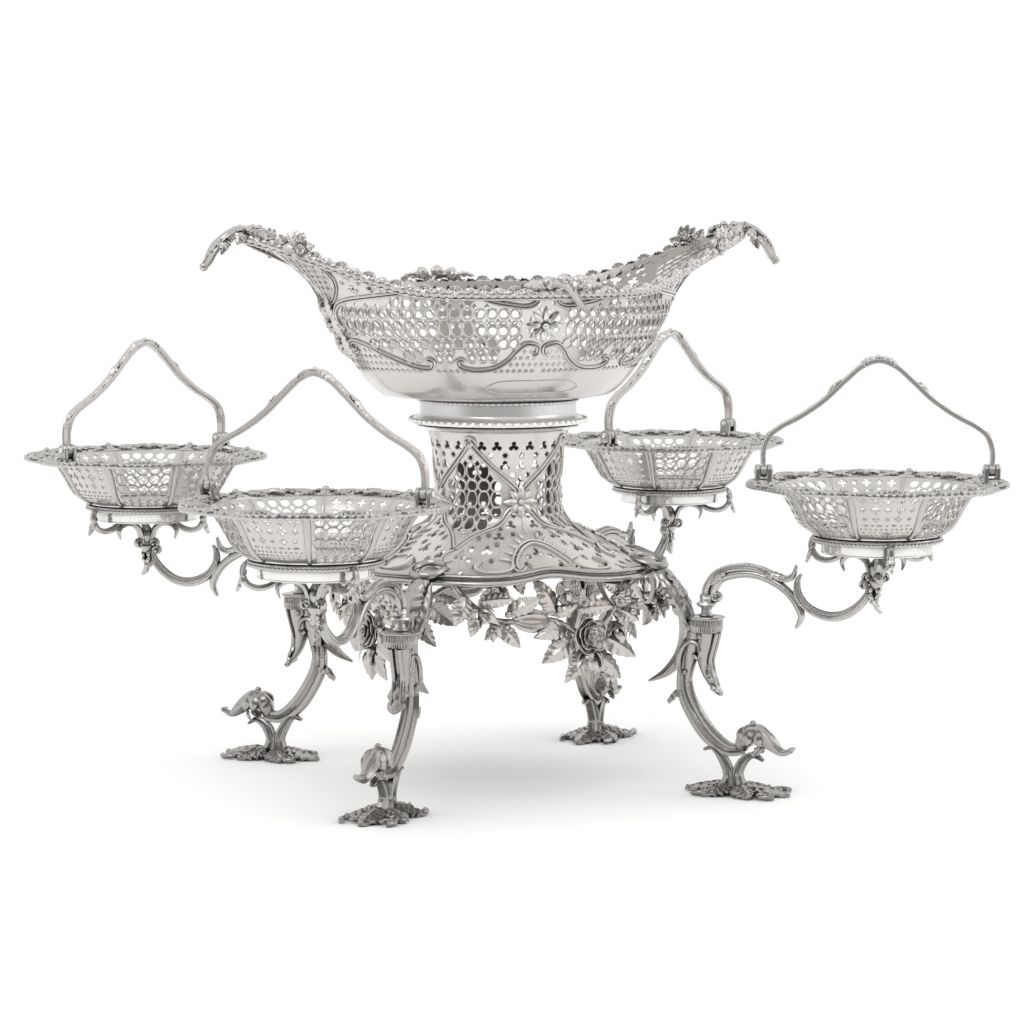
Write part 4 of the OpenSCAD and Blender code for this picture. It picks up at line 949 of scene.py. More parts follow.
def arm_shape():
    """Two opposed scrolls: a leaf-chased band over a smooth tube, a horn, a claw tail and a second scroll."""
    shape = Shape()
    bar(shape, [(5.6, 129.5, 3, 2.8), (5, 135, 3.1, 3), (9.2, 142.2, 3.2, 2.9), (16, 145.6, 3.2, 2.9),
                (27, 147.6, 3.2, 2.9), (38, 146.6, 3.2, 2.9), (50, 141.8, 3.3, 2.9), (58.4, 135.6, 3.4, 2.9),
                (64, 128.4, 3.4, 2.9), (66.6, 120.6, 2.8, 2.4), (63, 113.2, 1.4, 1.1)])
    bar(shape, [(0.2, 129, 4.4, 3.6), (0.4, 136.6, 4.4, 3), (5.4, 144.8, 4.4, 2.9), (14, 149.6, 4.4, 2.8),
                (27, 151.8, 4.4, 2.7), (38.6, 150.6, 4.2, 2.6), (49, 146.6, 3.8, 2.5), (56, 145.4, 3.2, 2.3),
                (60.8, 148, 2.4, 2), (63, 154.8, 1.3, 1)], 8, 0.18)
    bar(shape, [(66.4, 149, 1.2, 0.9), (63.6, 143.6, 2.8, 2.2), (64.6, 135, 3.5, 2.9), (72, 126.6, 3.8, 3.2),
                (84, 122.2, 4, 3.3), (96, 123.6, 4, 3.3), (106.4, 130.4, 3.8, 3.1), (112.6, 138.6, 3.3, 2.7),
                (112.4, 143.8, 2.7, 2.2)], 8, 0.2)
    volute(shape, (7.6, 131.8), 3.6, 1.2, 190, 330, 1.7, 3.2)
    volute(shape, (109.6, 143.8), 3, 1.2, 10, 330, 1.6, 2.8)
    # Leaves chased on the band, and the leaf at the meeting of the scrolls
    for x, z, to_x, to_z in ((0.4, 137, 8, 149.6), (10, 149, 21, 153.6), (22, 153, 34, 153.8),
                             (36, 152.8, 47, 149)):
        leaf(shape, (x, 0, z), (to_x, 0, to_z), (-0.2, 0, 1), 6.4, 4, arch=0.08, thick=1.2)
    leaf(shape, (63.4, 0, 133), (68, 0, 126), (1, 0, 0.5), 6, 3, arch=0.1, thick=1.4)
    for way in (-1, 1):
        leaf(shape, (3, way * 3, 139), (15, way * 3.8, 148), (0, way, 0.2), 4.6, 4, arch=0.06)
        leaf(shape, (40, way * 3, 148.6), (57, way * 2.6, 145.6), (0, way, 0.2), 4.4, 4, arch=0.06)
    # The tail leaf and collar below the knop
    leaf(shape, (116.6, 0, 146), (121.4, 0, 126.4), (1, 0, 0.25), 9, 4, arch=-0.06, roll=0.06, thick=2.4,
         cup=0.3)
    leaf(shape, (119.4, 0, 144), (117, 0, 131), (-1, 0, 0.1), 6.5, 3, arch=0.04, thick=1.6)
    return shape


def cradle_shape():
    """A knop with volutes, three brackets of two opposed scrolls, and the beaded ring."""
    shape = Shape()
    revolved(shape, (0, 0, 141.5), (0, 0, 162),
             [(0, 2.2), (0.08, 3.6), (0.16, 4.6), (0.25, 5.6), (0.36, 4.6), (0.42, 3.7), (0.5, 4.6),
              (0.62, 5.2), (0.74, 4.6), (0.88, 3.4), (1, 1.2)], 24, 8, 0.06)
    bracket = Shape()
    bar(bracket, [(3.8, 148.5, 2.8, 2.2), (4.6, 154, 2.8, 2.2), (7.4, 160, 2.7, 2.1), (13.6, 163.4, 2.6, 2.1),
                  (20.2, 162.4, 2.5, 2), (23.6, 158.4, 2, 1.6), (22, 152.6, 0.6, 0.5)], 6, 0.2)
    bar(bracket, [(21.6, 166.4, 0.6, 0.5), (24.4, 162.8, 2.2, 1.8), (29.4, 160, 2.6, 2.1),
                  (35.6, 159.2, 2.6, 2.1), (41.4, 161.4, 2.6, 2.1), (44.6, 166.8, 2.6, 2.1),
                  (44.2, 172.4, 2.4, 2), (41.6, 175.6, 1.8, 1.4)], 6, 0.2)
    leaf(bracket, (43.8, 0, 171), (48.2, 0, 157.6), (1, 0, 0.3), 5.6, 3, arch=0.04, roll=0.06, thick=1.8)
    volute(bracket, (6.6, 148.4), 3.2, 1.2, 150, -330, 1.6, 3)
    shape.add_copies(bracket, 3, 60)
    ring_of(shape, [(36.35, 172.6), (40.8, 172.6), (41.8, 173.2), (42, 174), (41.2, 174.6), (42.2, 175),
                    (42.6, 175.8), (42.2, 176.6), (41.2, 176.95), (36.35, 176.95)])
    beads(shape, 41.9, 174.4, 88, 1.05)
    return shape


def beads(shape, r, z, count, size):
    """A ring of small beads about Z."""
    a = round_angles(8 * count)
    swell = size * (0.35 + 0.65 * np.abs(np.sin(a * count / 2)))
    sweep(shape, around(r, a, z), oval(swell, points=8), (0, 0, 1), closed=True)


def branch_at(corner, reach):
    """The place at a reach along a branch, and the branch's direction in degrees."""
    turn = CORNERS[corner] + BRANCH_TURN[corner]
    return SOCKET_R * direction(CORNERS[corner]) + reach * direction(turn), turn


def make_branches():
    spigot, arm, cradle = spigot_shape(), arm_shape(), cradle_shape()
    for corner in CORNERS:
        body = "branch_" + corner
        foot, turn = branch_at(corner, 0)
        ring, _ = branch_at(corner, BRANCH_REACH)
        for name, shape, slot, ending, spot in (("spigot_", spigot, "plain_silver", "_turned", foot),
                                                ("arm_", arm, "cast_silver", "_cast", foot),
                                                ("cradle_", cradle, "cast_silver", "_cast", ring)):
            piece(name + corner + ending, shape, body, slot, name + corner, turn=turn, at=spot)


# Small baskets: eight pierced panels, straps, a bordered rim, a foot band and a hinged bail

WALL_LINE = smooth([(41, 0), (46, 3), (51.5, 7.8), (57.7, 18.8), (62, 25.5), (66, 30)])
WALL_RUN = run_of(WALL_LINE)
PANELS = 8
PANEL_ANGLE = 360 / PANELS
HALF_PANEL = PANEL_ANGLE / 2
PANEL_U = 54 * math.pi / 180
PANEL_SWELL = 0.5
MOUTH_R, EDGE_R, EDGE_WAVE = 66, 83, 2


def wall_surface(u, v):
    """Flat place on a panel (mm round from its middle, run up the wall) to a point of the wall."""
    a = np.radians(u / PANEL_U)
    r = np.interp(v, WALL_RUN, WALL_LINE[:, 0]) + PANEL_SWELL * np.cos(PANELS * a)
    return around(r, a, WALL_Z + np.interp(v, WALL_RUN, WALL_LINE[:, 1]))


def flower_holes():
    """Quatrefoils and stars in turn, above rows of small slits and dots."""
    shapes = {"f": foil(3.3, 4), "b": foil(3.6, 4), "g": foil(2.7, 4), "s": star(2.6, 6), "t": star(2, 6),
              "o": ellipse(2, 1.1, 10), "d": ellipse(1, 1, 8)}
    rows = [(35.6, 7.2, "fsfsf"), (28.4, 7.2, "sbsbs"), (21.3, 6.9, "tgtgt"), (16.2, 4.6, "odododo"),
            (13, 3.4, "ddddddddddd"), (9.9, 3.9, "dodododod"), (6.8, 3.4, "ddddddddd"), (4, 3.4, "ddddddddd")]
    return [], row_holes(rows, shapes)


def lattice_holes():
    """Circles and tall ovals in turn, with lozenges in the gaps."""
    shapes = {"c": ellipse(3.2, 3), "o": ellipse(3.1, 4), "l": lozenge(3.6, 4.6), "e": ellipse(2.7, 3.2),
              "r": ellipse(2.5, 2.2), "k": lozenge(3, 3.8), "q": ellipse(2, 1.2, 10)}
    rows = [(35.4, 7.3, "ccccc"), (27.6, 7.3, "ooooo"), (19.8, 7.3, "ccccc"), (13.1, 6.9, "eeeee"),
            (7.2, 6.6, "rrrrr"), (3, 6.4, "qqqqq")]
    gaps = [(31.7, 7.3, "llll"), (23.6, 7.3, "llll"), (16.5, 7.1, "kkkk"), (9.6, 6.7, "kkkk")]
    return row_holes(rows, shapes), row_holes(gaps, shapes)


def row_holes(rows, shapes):
    """Holes in rows of (run up the wall, gap, marks), where a mark names the hole's shape."""
    holes = []
    for v, gap, marks in rows:
        for k, mark in enumerate(marks):
            holes.append(sawn(wall_surface, gap * (k - (len(marks) - 1) / 2), v, shapes[mark]))
    return holes


def wall_shapes():
    """The pierced wall of eight panels, and the straps over its seams."""
    reach, high = HALF_PANEL * PANEL_U, WALL_RUN[-1]
    wall, straps, strap = Shape(), Shape(), Shape()
    for k, (ringed, plain) in enumerate((flower_holes(), lattice_holes())):
        panel = Shape()
        cut_sheet(panel, oblong(-reach, reach, 0, high, 12, 14), ringed + plain, wall_surface, 1.1, 3.2)
        for hole in ringed:
            hole_rim(panel, wall_surface, hole, 0.45)
        wall.add_copies(panel, PANELS // 2, PANEL_ANGLE * k)
    path = wall_surface(np.full(20, reach), np.linspace(0.4, high - 0.2, 20))
    width = np.linspace(1.5, 2.7, 20)
    sweep(strap, path, oval(width, np.full(20, 1.5), 12), direction(HALF_PANEL + 90))
    straps.add_copies(strap, PANELS)
    return wall, straps


def rim_place(r, a, z):
    """A place on the small rim by radius, angle in degrees and height."""
    return around(r, np.radians(a), z)


def curl_unit(shape, place, along, up, size, turn=400):
    """A small C-scroll that stands on a border."""
    t = np.linspace(0, 1, 24)
    a = np.radians(200 - turn * t)
    r = size * (1 - 0.72 * t)
    path = place + np.outer(r * np.cos(a), along) + np.outer(size * 0.6 + r * np.sin(a), up)
    thick = size * np.interp(t, [0, 0.2, 1], [0.14, 0.36, 0.2])
    sweep(shape, path, oval(thick, points=8), np.cross(along, up))


def ball_unit(shape, place, along, up, size):
    """A ball between two small leaves."""
    ball(shape, place + up * size * 0.7, size, 10)
    for way in (-1, 1):
        start = place + up * size * 0.5 + along * way * size * 0.5
        end = place + up * size * 0.3 + along * way * size * 3
        leaf(shape, start, end, up, 2.2 * size, 3, arch=0.18, thick=0.8)


def rim_edge(a):
    """The small rim's wavy edge, by the angle in radians."""
    return EDGE_R + EDGE_WAVE * np.cos(PANELS * a)


def rim_sector():
    """An eighth of the rim's cast top: a shell, a ball between leaves, and a C-scroll on each side."""
    sector = Shape()
    shell(sector, rim_place(69, 0, 209.6), (1, 0, 0.12), (0, 0, 1), 13, 7, 62, 0.16)
    ball(sector, rim_place(69.4, 0, 211.2), 2)
    up = unit(rim_place(0.15, HALF_PANEL, 1))
    ball_unit(sector, rim_place(77, HALF_PANEL, 210.4), direction(HALF_PANEL + 90), up, 2.5)
    leaf(sector, rim_place(69, HALF_PANEL, 210.6), rim_place(84, HALF_PANEL, 211.4), (0, 0, 1), 7, 4,
         arch=0.1, thick=1.4)
    scroll = smooth([(70, 7), (74, 4.6), (79, 6.4), (81.6, 11), (79, 15.4), (74, 15.6), (72.4, 12),
                     (75.4, 10.4)], 5)
    size = np.interp(np.arange(len(scroll)), [0, 10, len(scroll) - 1], [0.7, 1.7, 1.0])
    for way in (-1, 1):
        path = rim_place(scroll[:, 0], way * scroll[:, 1], 211)
        sweep(sector, path, oval(size, points=10), (0, 0, 1))
        for r, a, z, to_r, to_a, to_z, lobes in ((80, 8, 210.8, 83, 15.5, 211.2, 3),
                                                 (68.6, 9, 210.2, 70.5, 18.9, 210.8, 4)):
            start, end = rim_place(r, a * way, z), rim_place(to_r, to_a * way, to_z)
            leaf(sector, start, end, (0, 0, 1), 5, lobes, arch=0.1)
    return sector


def rim_shape():
    """The wide wavy flange: a reeded edge, and low cast scrolls, shells and balls on top."""
    shape = Shape()
    a = round_angles(192)
    span = rim_edge(a) - MOUTH_R
    rows = [(0, 208), (0.5, 208.6), (0.9, 209.2), (0.98, 210), (0.94, 210.9), (0.8, 211), (0.5, 210.8),
            (0.2, 210.4), (0.03, 209.6)]
    round_form(shape, [(MOUTH_R + share * span, z) for share, z in rows], a)
    reeds = 112
    a = round_angles(6 * reeds)
    swell = 0.7 + 0.3 * np.abs(np.sin(a * reeds / 2))
    path = around(rim_edge(a) - 0.9, a, 210)
    sweep(shape, path, oval(2.2 * swell, 1.7 * swell, 8), (0, 0, 1), closed=True)
    shape.add_copies(rim_sector(), PANELS)
    return shape


def foot_shape():
    """The basket's floor and its plain foot band, which passes down inside the ring."""
    shape = Shape()
    ring_of(shape, [(0, 177.3), (34.8, 177.3), (34.8, 166), (35.2, 165.7), (35.8, 165.7), (36.05, 166.2),
                    (35.7, 166.8), (35.9, 167.4), (35.9, 177.1), (40.6, 177.1), (41.3, 177.6), (41.4, 178.4),
                    (40.6, 178.9), (39, 178.6), (0, 178.45)], 120)
    return shape


def knuckle(shape, start, end, foot=False):
    """A hinge knuckle along X with eased ends; with a foot it stands on the rim."""
    a = np.radians(np.linspace(0, 180, 13) if foot else np.linspace(0, 345, 24))
    section = np.column_stack([4 * np.cos(a), 4 * np.sin(a)])
    if foot:
        base = FLANGE_Z - HINGE_Z
        section = np.vstack([section, [(-4, base + 3), (-4.8, base), (4.8, base), (4, base + 3)]])
    x = vec(start, start + 0.4, end - 0.4, end)
    grow = vec(0.9, 1, 1, 0.9)
    path = np.column_stack([HINGE_R + x, np.zeros(4), np.full(4, HINGE_Z)])
    sweep(shape, path, section[None] * grow[:, None, None])


def hinge_shapes():
    """The lugs and the pins of a basket's two hinges."""
    lug, pin, lugs, pins = (Shape() for _ in range(4))
    knuckle(lug, -5.3, -2.3, True)
    knuckle(lug, 2.3, 5.3, True)
    revolved(pin, (HINGE_R - 6.4, 0, HINGE_Z), (HINGE_R + 6.4, 0, HINGE_Z),
             [(0, 0.8), (0.03, 1.8), (0.08, 2.1), (0.09, 1.6), (0.91, 1.6), (0.92, 2.1), (0.97, 1.8),
              (1, 0.8)], 16)
    lugs.add_copies(lug, 2)
    pins.add_copies(pin, 2)
    return lugs, pins


BAIL_H = 71
BAIL_HALF = pairs(1, 0.04, 1, 0.18, 0.955, 0.31, 0.85, 0.4, 0.67, 0.5, 0.47, 0.645, 0.29, 0.82, 0.15, 0.945,
                  0, 1) * (HINGE_R, BAIL_H)


def bail_shape():
    """An ogee strap with raised edges, chased leaves along its outside and a leafy crest."""
    shape = Shape()
    path = plane(smooth(mirrored(BAIL_HALF)) + (0, HINGE_Z))
    section = pairs(4.2, -0.8, 4.2, 1.2, 3.7, 1.6, 3.1, 1.2, 0, 0.8, -3.1, 1.2, -3.7, 1.6, -4.2, 1.2,
                    -4.2, -0.8, -3.4, -1.4, 3.4, -1.4)
    n = len(path)
    share = np.abs(np.linspace(-1, 1, n))
    grow = np.interp(share, [0, 0.25, 0.8, 1], [1, 0.86, 0.86, 0.7])
    sweep(shape, path, section[None] * np.stack([grow, np.ones(n)], -1)[:, None])
    along = unit(np.gradient(path, axis=0))
    out = np.cross(along, (0, 1, 0))
    half = n // 2
    for way in (-1, 1):
        for k in range(11):
            i, j = (half + way * int(half * s) for s in ((k + 1.2) / 12.4, (k + 0.1) / 12.4))
            leaf(shape, path[i] + out[i] * 0.4, path[j] + out[j] * 1.3, out[i], 5.8 - 0.15 * k, 4, arch=0.06,
                 thick=0.8)
        for s in (0.36, 0.82):
            i, j = half + way * int(half * s), half + way * int(half * (s - 0.09))
            leaf(shape, path[i] + out[i] * 0.6, path[j] + out[j] * 2, out[i], 6.4, 3, arch=0.14, roll=0.06)
        start = path[half + way * 10] + out[half] * 0.8
        leaf(shape, start, path[half] + out[half] * 2.8, out[half], 9.5, 5, arch=0.16, thick=1.2)
    ball(shape, path[half] + out[half] * 2.2, 1.9)
    end = Shape()
    knuckle(end, -2, 2)
    shape.add_copies(end, 2)
    return shape


def make_baskets():
    wall, straps = wall_shapes()
    rim, foot, bail = rim_shape(), foot_shape(), bail_shape()
    lugs, pins = hinge_shapes()
    parts = (("wall_pierced", wall, "basket_", "pierced_silver", "dish_wall_", PIERCED),
             ("straps", straps, "basket_", "plain_silver", "dish_ribs_", CAST),
             ("rim_cast", rim, "basket_", "cast_silver", "dish_rim_", CAST),
             ("foot_turned", foot, "basket_", "plain_silver", "dish_foot_", PLAIN),
             ("lugs", lugs, "basket_", "plain_silver", "hinge_lugs_", CAST),
             ("pins", pins, "basket_", "plain_silver", "hinge_pins_", PLAIN),
             ("bail_chased", bail, "handle_", "cast_silver", "bail_", PIERCED))
    for corner, yaw in BAIL_YAW.items():
        spot, _ = branch_at(corner, BRANCH_REACH)
        for name, shape, body, slot, node, look in parts:
            piece(corner + "_" + name, shape, body + corner, slot, node + corner, turn=yaw, at=spot,
                  look=look)


# Centre basket: a boat-shaped pierced bowl, made as a quarter and mirrored

BODY_H, PLAIN_H = 59, 3
FLOOR_X, FLOOR_Y = 78, 60
BODY_X, BODY_Y = 120, 88.5
RIM_Y, RIM_Z = 95, 334
SPOUT_REACH, SPOUT_RISE = 58, 36
FLARE_RUN, SPOUT_RUN = 18, 58
MEAN_X, MEAN_Y = 110, 80
FOOT_R = 53
ROSETTE_V = 53.5
QUARTER = np.radians(np.linspace(0, 90, 181))
QUARTER_RUN = run_of(flat(MEAN_X * np.cos(QUARTER), MEAN_Y * np.sin(QUARTER)))
SIDE_U = QUARTER_RUN[-1]


def bowl_angle(u):
    return np.interp(u, QUARTER_RUN, QUARTER)


def flare_run(a):
    """How far the flare runs above the body, by the angle."""
    return FLARE_RUN + SPOUT_RUN * np.cos(a)**8


def bowl_rim(a):
    """The rim by the angle: level along the sides, and drawn out and up to a spout at each end."""
    c, s = np.cos(a), np.sin(a)
    end = np.abs(c)
    return np.stack([(BODY_X + SPOUT_REACH * end**11) * c, RIM_Y * s, RIM_Z + SPOUT_RISE * end**8], -1)


def bowl_surface(u, v):
    """Flat place (mm from the end, run up the wall) to a point of the bowl's quarter."""
    a = bowl_angle(u)
    c, s = np.cos(a), np.sin(a)
    t = np.clip((v - PLAIN_H) / (BODY_H - PLAIN_H), 0, 1)**0.7
    x, y = FLOOR_X + (BODY_X - FLOOR_X) * t, FLOOR_Y + (BODY_Y - FLOOR_Y) * t
    body = np.stack([x * c, y * s, BOWL_Z + np.minimum(v, BODY_H)], -1)
    w = np.clip((v - BODY_H) / flare_run(a), 0, 1)
    low = np.stack([BODY_X * c, BODY_Y * s, np.full_like(c, BOWL_Z + BODY_H)], -1)
    return body + (bowl_rim(a) - low) * np.stack([w**1.35, w, w**0.8], -1)


def bowl_top(u):
    """The run up to the rim."""
    return BODY_H + flare_run(bowl_angle(u))


# Wires on the bowl's side, by (mm from the rosette along the side, mm above it), and where its lattice ends
UPPER_WIRES = [smooth(rows, 6) for rows in (
    [(5.4, 20.5), (6, 16), (9, 12.6), (14, 11.4), (23, 12.8), (32, 14.8), (41, 18.5), (50, 21), (57, 21),
     (59.4, 18.6), (57, 17)],
    [(86, 23), (98, 20.6), (112, 18), (124, 15.4), (134, 11.5), (140, 5), (139.6, -2), (136.4, -5)])]
LOWER_WIRES = [smooth(rows, 6) for rows in (
    [(5.6, -20), (2.4, -18), (3, -14), (10.6, -12.4), (17, -17), (23, -23.4), (33, -28.6), (45, -30),
     (55, -28.5), (58.6, -25), (55.6, -22.6), (53.4, -24.6)],
    [(80.6, -24.6), (78, -22.6), (75.4, -25), (79, -28.8), (90, -27.6), (105, -22), (120, -15),
     (133, -11.6), (140, -14.6), (137, -18.4), (133, -17)])]
LATTICE_TOP = pairs(0, 12, 14, 12, 23, 13, 32, 15, 41, 18.6, 50, 22, 92, 23, 112, 18, 124, 15,
                    134, 11.5, 140, 5)
LATTICE_LOW = pairs(0, -12, 10.6, -12.4, 17, -17, 23, -23.4, 33, -28.6, 45, -30, 79, -29, 90, -27.6, 105, -22,
                    120, -15, 140, -11)


def from_rosette(line):
    return flat(SIDE_U - line[:, 0], ROSETTE_V + line[:, 1])


BOWL_LINES = [from_rosette(line) for line in UPPER_WIRES + LOWER_WIRES]


def lattice_ends(along):
    """The lattice's lower and upper end at a distance along the side from the rosette."""
    return (ROSETTE_V + np.interp(along, *end.T) for end in (LATTICE_LOW, LATTICE_TOP))


def bowl_hole(u, v, outline, reach):
    """A list of one hole, or of none where an edge, the rosette or a wire is too near."""
    on_sheet = v + reach < bowl_top(u) - 3 and 2 < u < SIDE_U - 1.6
    off_rosette = math.hypot(SIDE_U - u, v - ROSETTE_V) > 12 + reach
    off_wires = all(np.hypot(*(line - (u, v)).T).min() > reach + 1 for line in BOWL_LINES)
    return [sawn(bowl_surface, u, v, outline)] if on_sheet and off_rosette and off_wires else []


def bowl_lattice():
    """Ringed ovals and circles in turn, and the lozenges between them."""
    ringed, plain = [], []
    rows = ((69.4, ellipse(2.9, 4.2), 3.3), (60.6, ellipse(3.1, 3.1), 2.9), (50.6, ellipse(3.1, 5.4), 3.7),
            (40.8, ellipse(3.1, 3.1), 2.9), (32.4, ellipse(2.8, 4.1), 3.2))
    pitch = 7.4
    for k in range(20):
        along = pitch * (k + 0.5)
        u = SIDE_U - along
        low, high = lattice_ends(along)
        for v, outline, reach in rows:
            if low < v - reach and v + reach < high and u > 9:
                ringed += bowl_hole(u, v, outline, reach)
        for v in (65, 55.8, 45.5, 36.6):
            if low < v - 2 and v + 2 < high and u > 13:
                plain += bowl_hole(u - pitch / 2, v, lozenge(3.8, 5), 2)
    return ringed, plain


def bowl_fine_holes():
    """Holes between the rosette's petals, and small ones above and below the scrolls."""
    holes = []
    for a in (-67.5, -22.5, 22.5, 67.5):
        u, v, _ = (SIDE_U, ROSETTE_V, 0) + 9.4 * direction(a) * (-1, 1, 0)
        holes.append(sawn(bowl_surface, u, v, ellipse(2.2, 2.2, 12)))
    for row in range(13):
        v = 22.6 + 4.4 * row
        outline = lozenge(3.5, 4.2) if row % 2 else ellipse(1.6, 1.8, 10)
        for k in range(34):
            along = 4.6 * (k + (0.5 if row % 2 else 1))
            low, high = lattice_ends(along)
            if (along < 50 and v > high) or v < low:
                holes += bowl_hole(SIDE_U - along, v, outline, 1.3)
    return holes


def bowl_end_holes():
    """Quatrefoils and stars towards the end, slots along the rim, and the fan under the spout."""
    holes = []
    for u, v in ((35, 78), (46, 80), (35.5, 91), (44, 89), (32, 103)):
        holes += bowl_hole(u, v, foil(4.2, 4), 3)
    for u, v in ((40.5, 72.8), (30, 72.6), (52, 77), (40, 85), (29.6, 109.6), (38.5, 98), (30.6, 85),
                 (29.8, 97)):
        holes += bowl_hole(u, v, star(2.4, 5), 1.8)
    for u in np.arange(28, 84, 5.6):
        holes += bowl_hole(u, bowl_top(u) - 7.6, lozenge(3.4, 5.6), 2)
    for row in range(9):
        for k in range(5):
            u, v = 3.2 + 5.2 * k + (2.6 if row % 2 else 0), 71 + 5.6 * row
            if (u / 24.5)**2 + ((v - 94) / 25)**2 < 1:
                holes += bowl_hole(u, v, lozenge(4.4, 8.6), 1.4)
    return holes


def lay_bowl_wires(quarter):
    """Scrolls on the side, a plain panel below, and the frame and leaf spray under the spout."""
    for line in BOWL_LINES:
        wire(quarter, bowl_surface, line, 1.05, 0.6, 1.0)
    panel = smooth([(0.5, -37.4), (26, -37.6), (35, -39.6), (40.5, -42.4), (35, -44.6), (26, -45.8),
                    (0.5, -46)], 6)
    wire(quarter, bowl_surface, from_rosette(panel), 0.45, 0.0, taper=False)
    oval_line = smooth([(0.5, 65), (13, 68), (23.6, 80), (26.8, 94), (22.6, 108), (10.4, 119)], 6)
    wire(quarter, bowl_surface, oval_line, 0.8, 0.4, 1.0)
    ball(quarter, bowl_surface(0, 60) + (1, 0, 0), 4)
    for low, high, width in ((28, 46, 11), (42, 60, 10), (54, 70, 8)):
        base, tip = bowl_surface(4, low), bowl_surface(9, high)
        leaf(quarter, base + (1, 0, 0), tip + (1.6, 0, 0), (1, 0.25, -0.5), width, 5, arch=0.12, thick=1.4)


def lay_bowl_floor(quarter, u):
    """The plain floor, from the middle out to the body."""
    a = bowl_angle(u)
    edge = bowl_surface(u, np.full(len(u), PLAIN_H))
    inner = around(FOOT_R, a, BOWL_Z + PLAIN_H)
    rows = [inner + (edge - inner) * share + (0, 0, z) for share, z in ((0, -2.6), (0.4, -1.8), (0.75, -0.7))]
    slab(quarter, np.stack([around(0.2, a, BOWL_Z + 0.6), *rows, edge]), vec(0, 0, 1.3))


def make_bowl():
    quarter, whole = Shape(), Shape()
    u = np.linspace(0, SIDE_U, 36)
    top = bowl_top(u) - 0.4
    outline = np.vstack([flat(u, PLAIN_H), flat(SIDE_U, np.linspace(PLAIN_H, top[-1], 20)[1:-1]),
                         flat(u, top)[::-1], flat(0, np.linspace(top[0], PLAIN_H, 24)[1:-1])])
    ringed, plain = bowl_lattice()
    holes = ringed + plain + bowl_fine_holes() + bowl_end_holes()
    cut_sheet(quarter, outline, holes, bowl_surface, 1.3, 3.6)
    for hole in ringed:
        hole_rim(quarter, bowl_surface, hole, 0.5)
    lay_bowl_wires(quarter)
    lay_bowl_floor(quarter, u)
    whole.add_mirrored(quarter)
    piece("centre_bowl_pierced", whole, "centre_basket", "pierced_silver", "centre_bowl", look=BOWL_SILVER)


RIM_ANGLES = np.radians(np.arange(0, 360, 0.3))
RIM_LINE = bowl_rim(RIM_ANGLES)
RIM_ALONG = unit(np.roll(RIM_LINE, -2, 0) - np.roll(RIM_LINE, 2, 0))
RIM_OUT = unit(np.cross(RIM_ALONG, (0, 0, 1)))
RIM_RUN = run_of(np.vstack([RIM_LINE, RIM_LINE[:1]]))
SHOULDER_ANGLE = 17.5
SPOUT_X = 150


def border_rope(shape):
    """A gadrooned rope along the rim, over a thin wire."""
    gadroons = round(RIM_RUN[-1] / 5.4)
    swell = 0.66 + 0.34 * np.abs(np.sin(np.pi * gadroons * RIM_RUN[:-1] / RIM_RUN[-1]))
    rope = RIM_LINE - (0, 0, 1.4) + RIM_OUT * 0.8
    sweep(shape, rope, oval(3.2 * swell, 2.6 * swell, 10), (0, 0, 1), closed=True)
    sweep(shape, RIM_LINE - (0, 0, 4.8) + RIM_OUT * 0.3, oval(0.9, 1.1, 8), (0, 0, 1), closed=True)


def border_units(shape, units=88):
    """Shells and leaves in turn along the rim, with scrolls and leaves on its face and more on the spouts."""
    for k in range(units):
        i = int(np.searchsorted(RIM_RUN, RIM_RUN[-1] * (k + 0.5) / units)) % len(RIM_LINE)
        spot, along, out = RIM_LINE[i], RIM_ALONG[i], RIM_OUT[i]
        up = unit(0.45 * out + vec(0, 0, 0.9))
        way = 1 if k % 4 < 2 else -1
        hang = spot + out * 2.4
        if k % 2:
            shell(shape, spot - (0, 0, 0.6), up, out, 5, 4, 70, 0.2)
            leaf(shape, hang - along * way * 4, hang + along * way * 4 - (0, 0, 2.4), out, 4.4, 3, arch=0.14)
        else:
            curl_unit(shape, hang - (0, 0, 2.4), along * way, vec(0, 0, 1), 2.7)
            leaf(shape, spot - along * 4.4 + up * 0.8, spot + along * 4.4 + up * 0.8, up, 5, 3, arch=0.2)
        if abs(spot[0]) > SPOUT_X:
            tip = spot + along * way * 5 + up * 8
            leaf(shape, spot + up, tip, out - (0, 0, 0.3), 8, 4, arch=0.16, thick=1.2)


def shoulder_cluster():
    """A leaf cluster with a small rose on a spout's shoulder."""
    cluster = Shape()
    i = int(np.argmin(np.abs(RIM_ANGLES - np.radians(SHOULDER_ANGLE))))
    along, out = RIM_ALONG[i], RIM_OUT[i]
    spot = RIM_LINE[i] + out * 2.6 + (0, 0, 2.6)
    for turn, size in ((-60, 10), (-10, 13), (40, 12), (70, 12), (95, 12), (150, 11), (215, 9)):
        way = -along * math.cos(math.radians(turn)) + vec(0, 0, 1) * math.sin(math.radians(turn))
        leaf(cluster, spot + way * 1.5, spot + way * size, out, 7, 4, arch=0.2, roll=0.08, thick=1.3)
    rose(cluster, spot + out * 0.6, out, 4.4, 2)
    return cluster


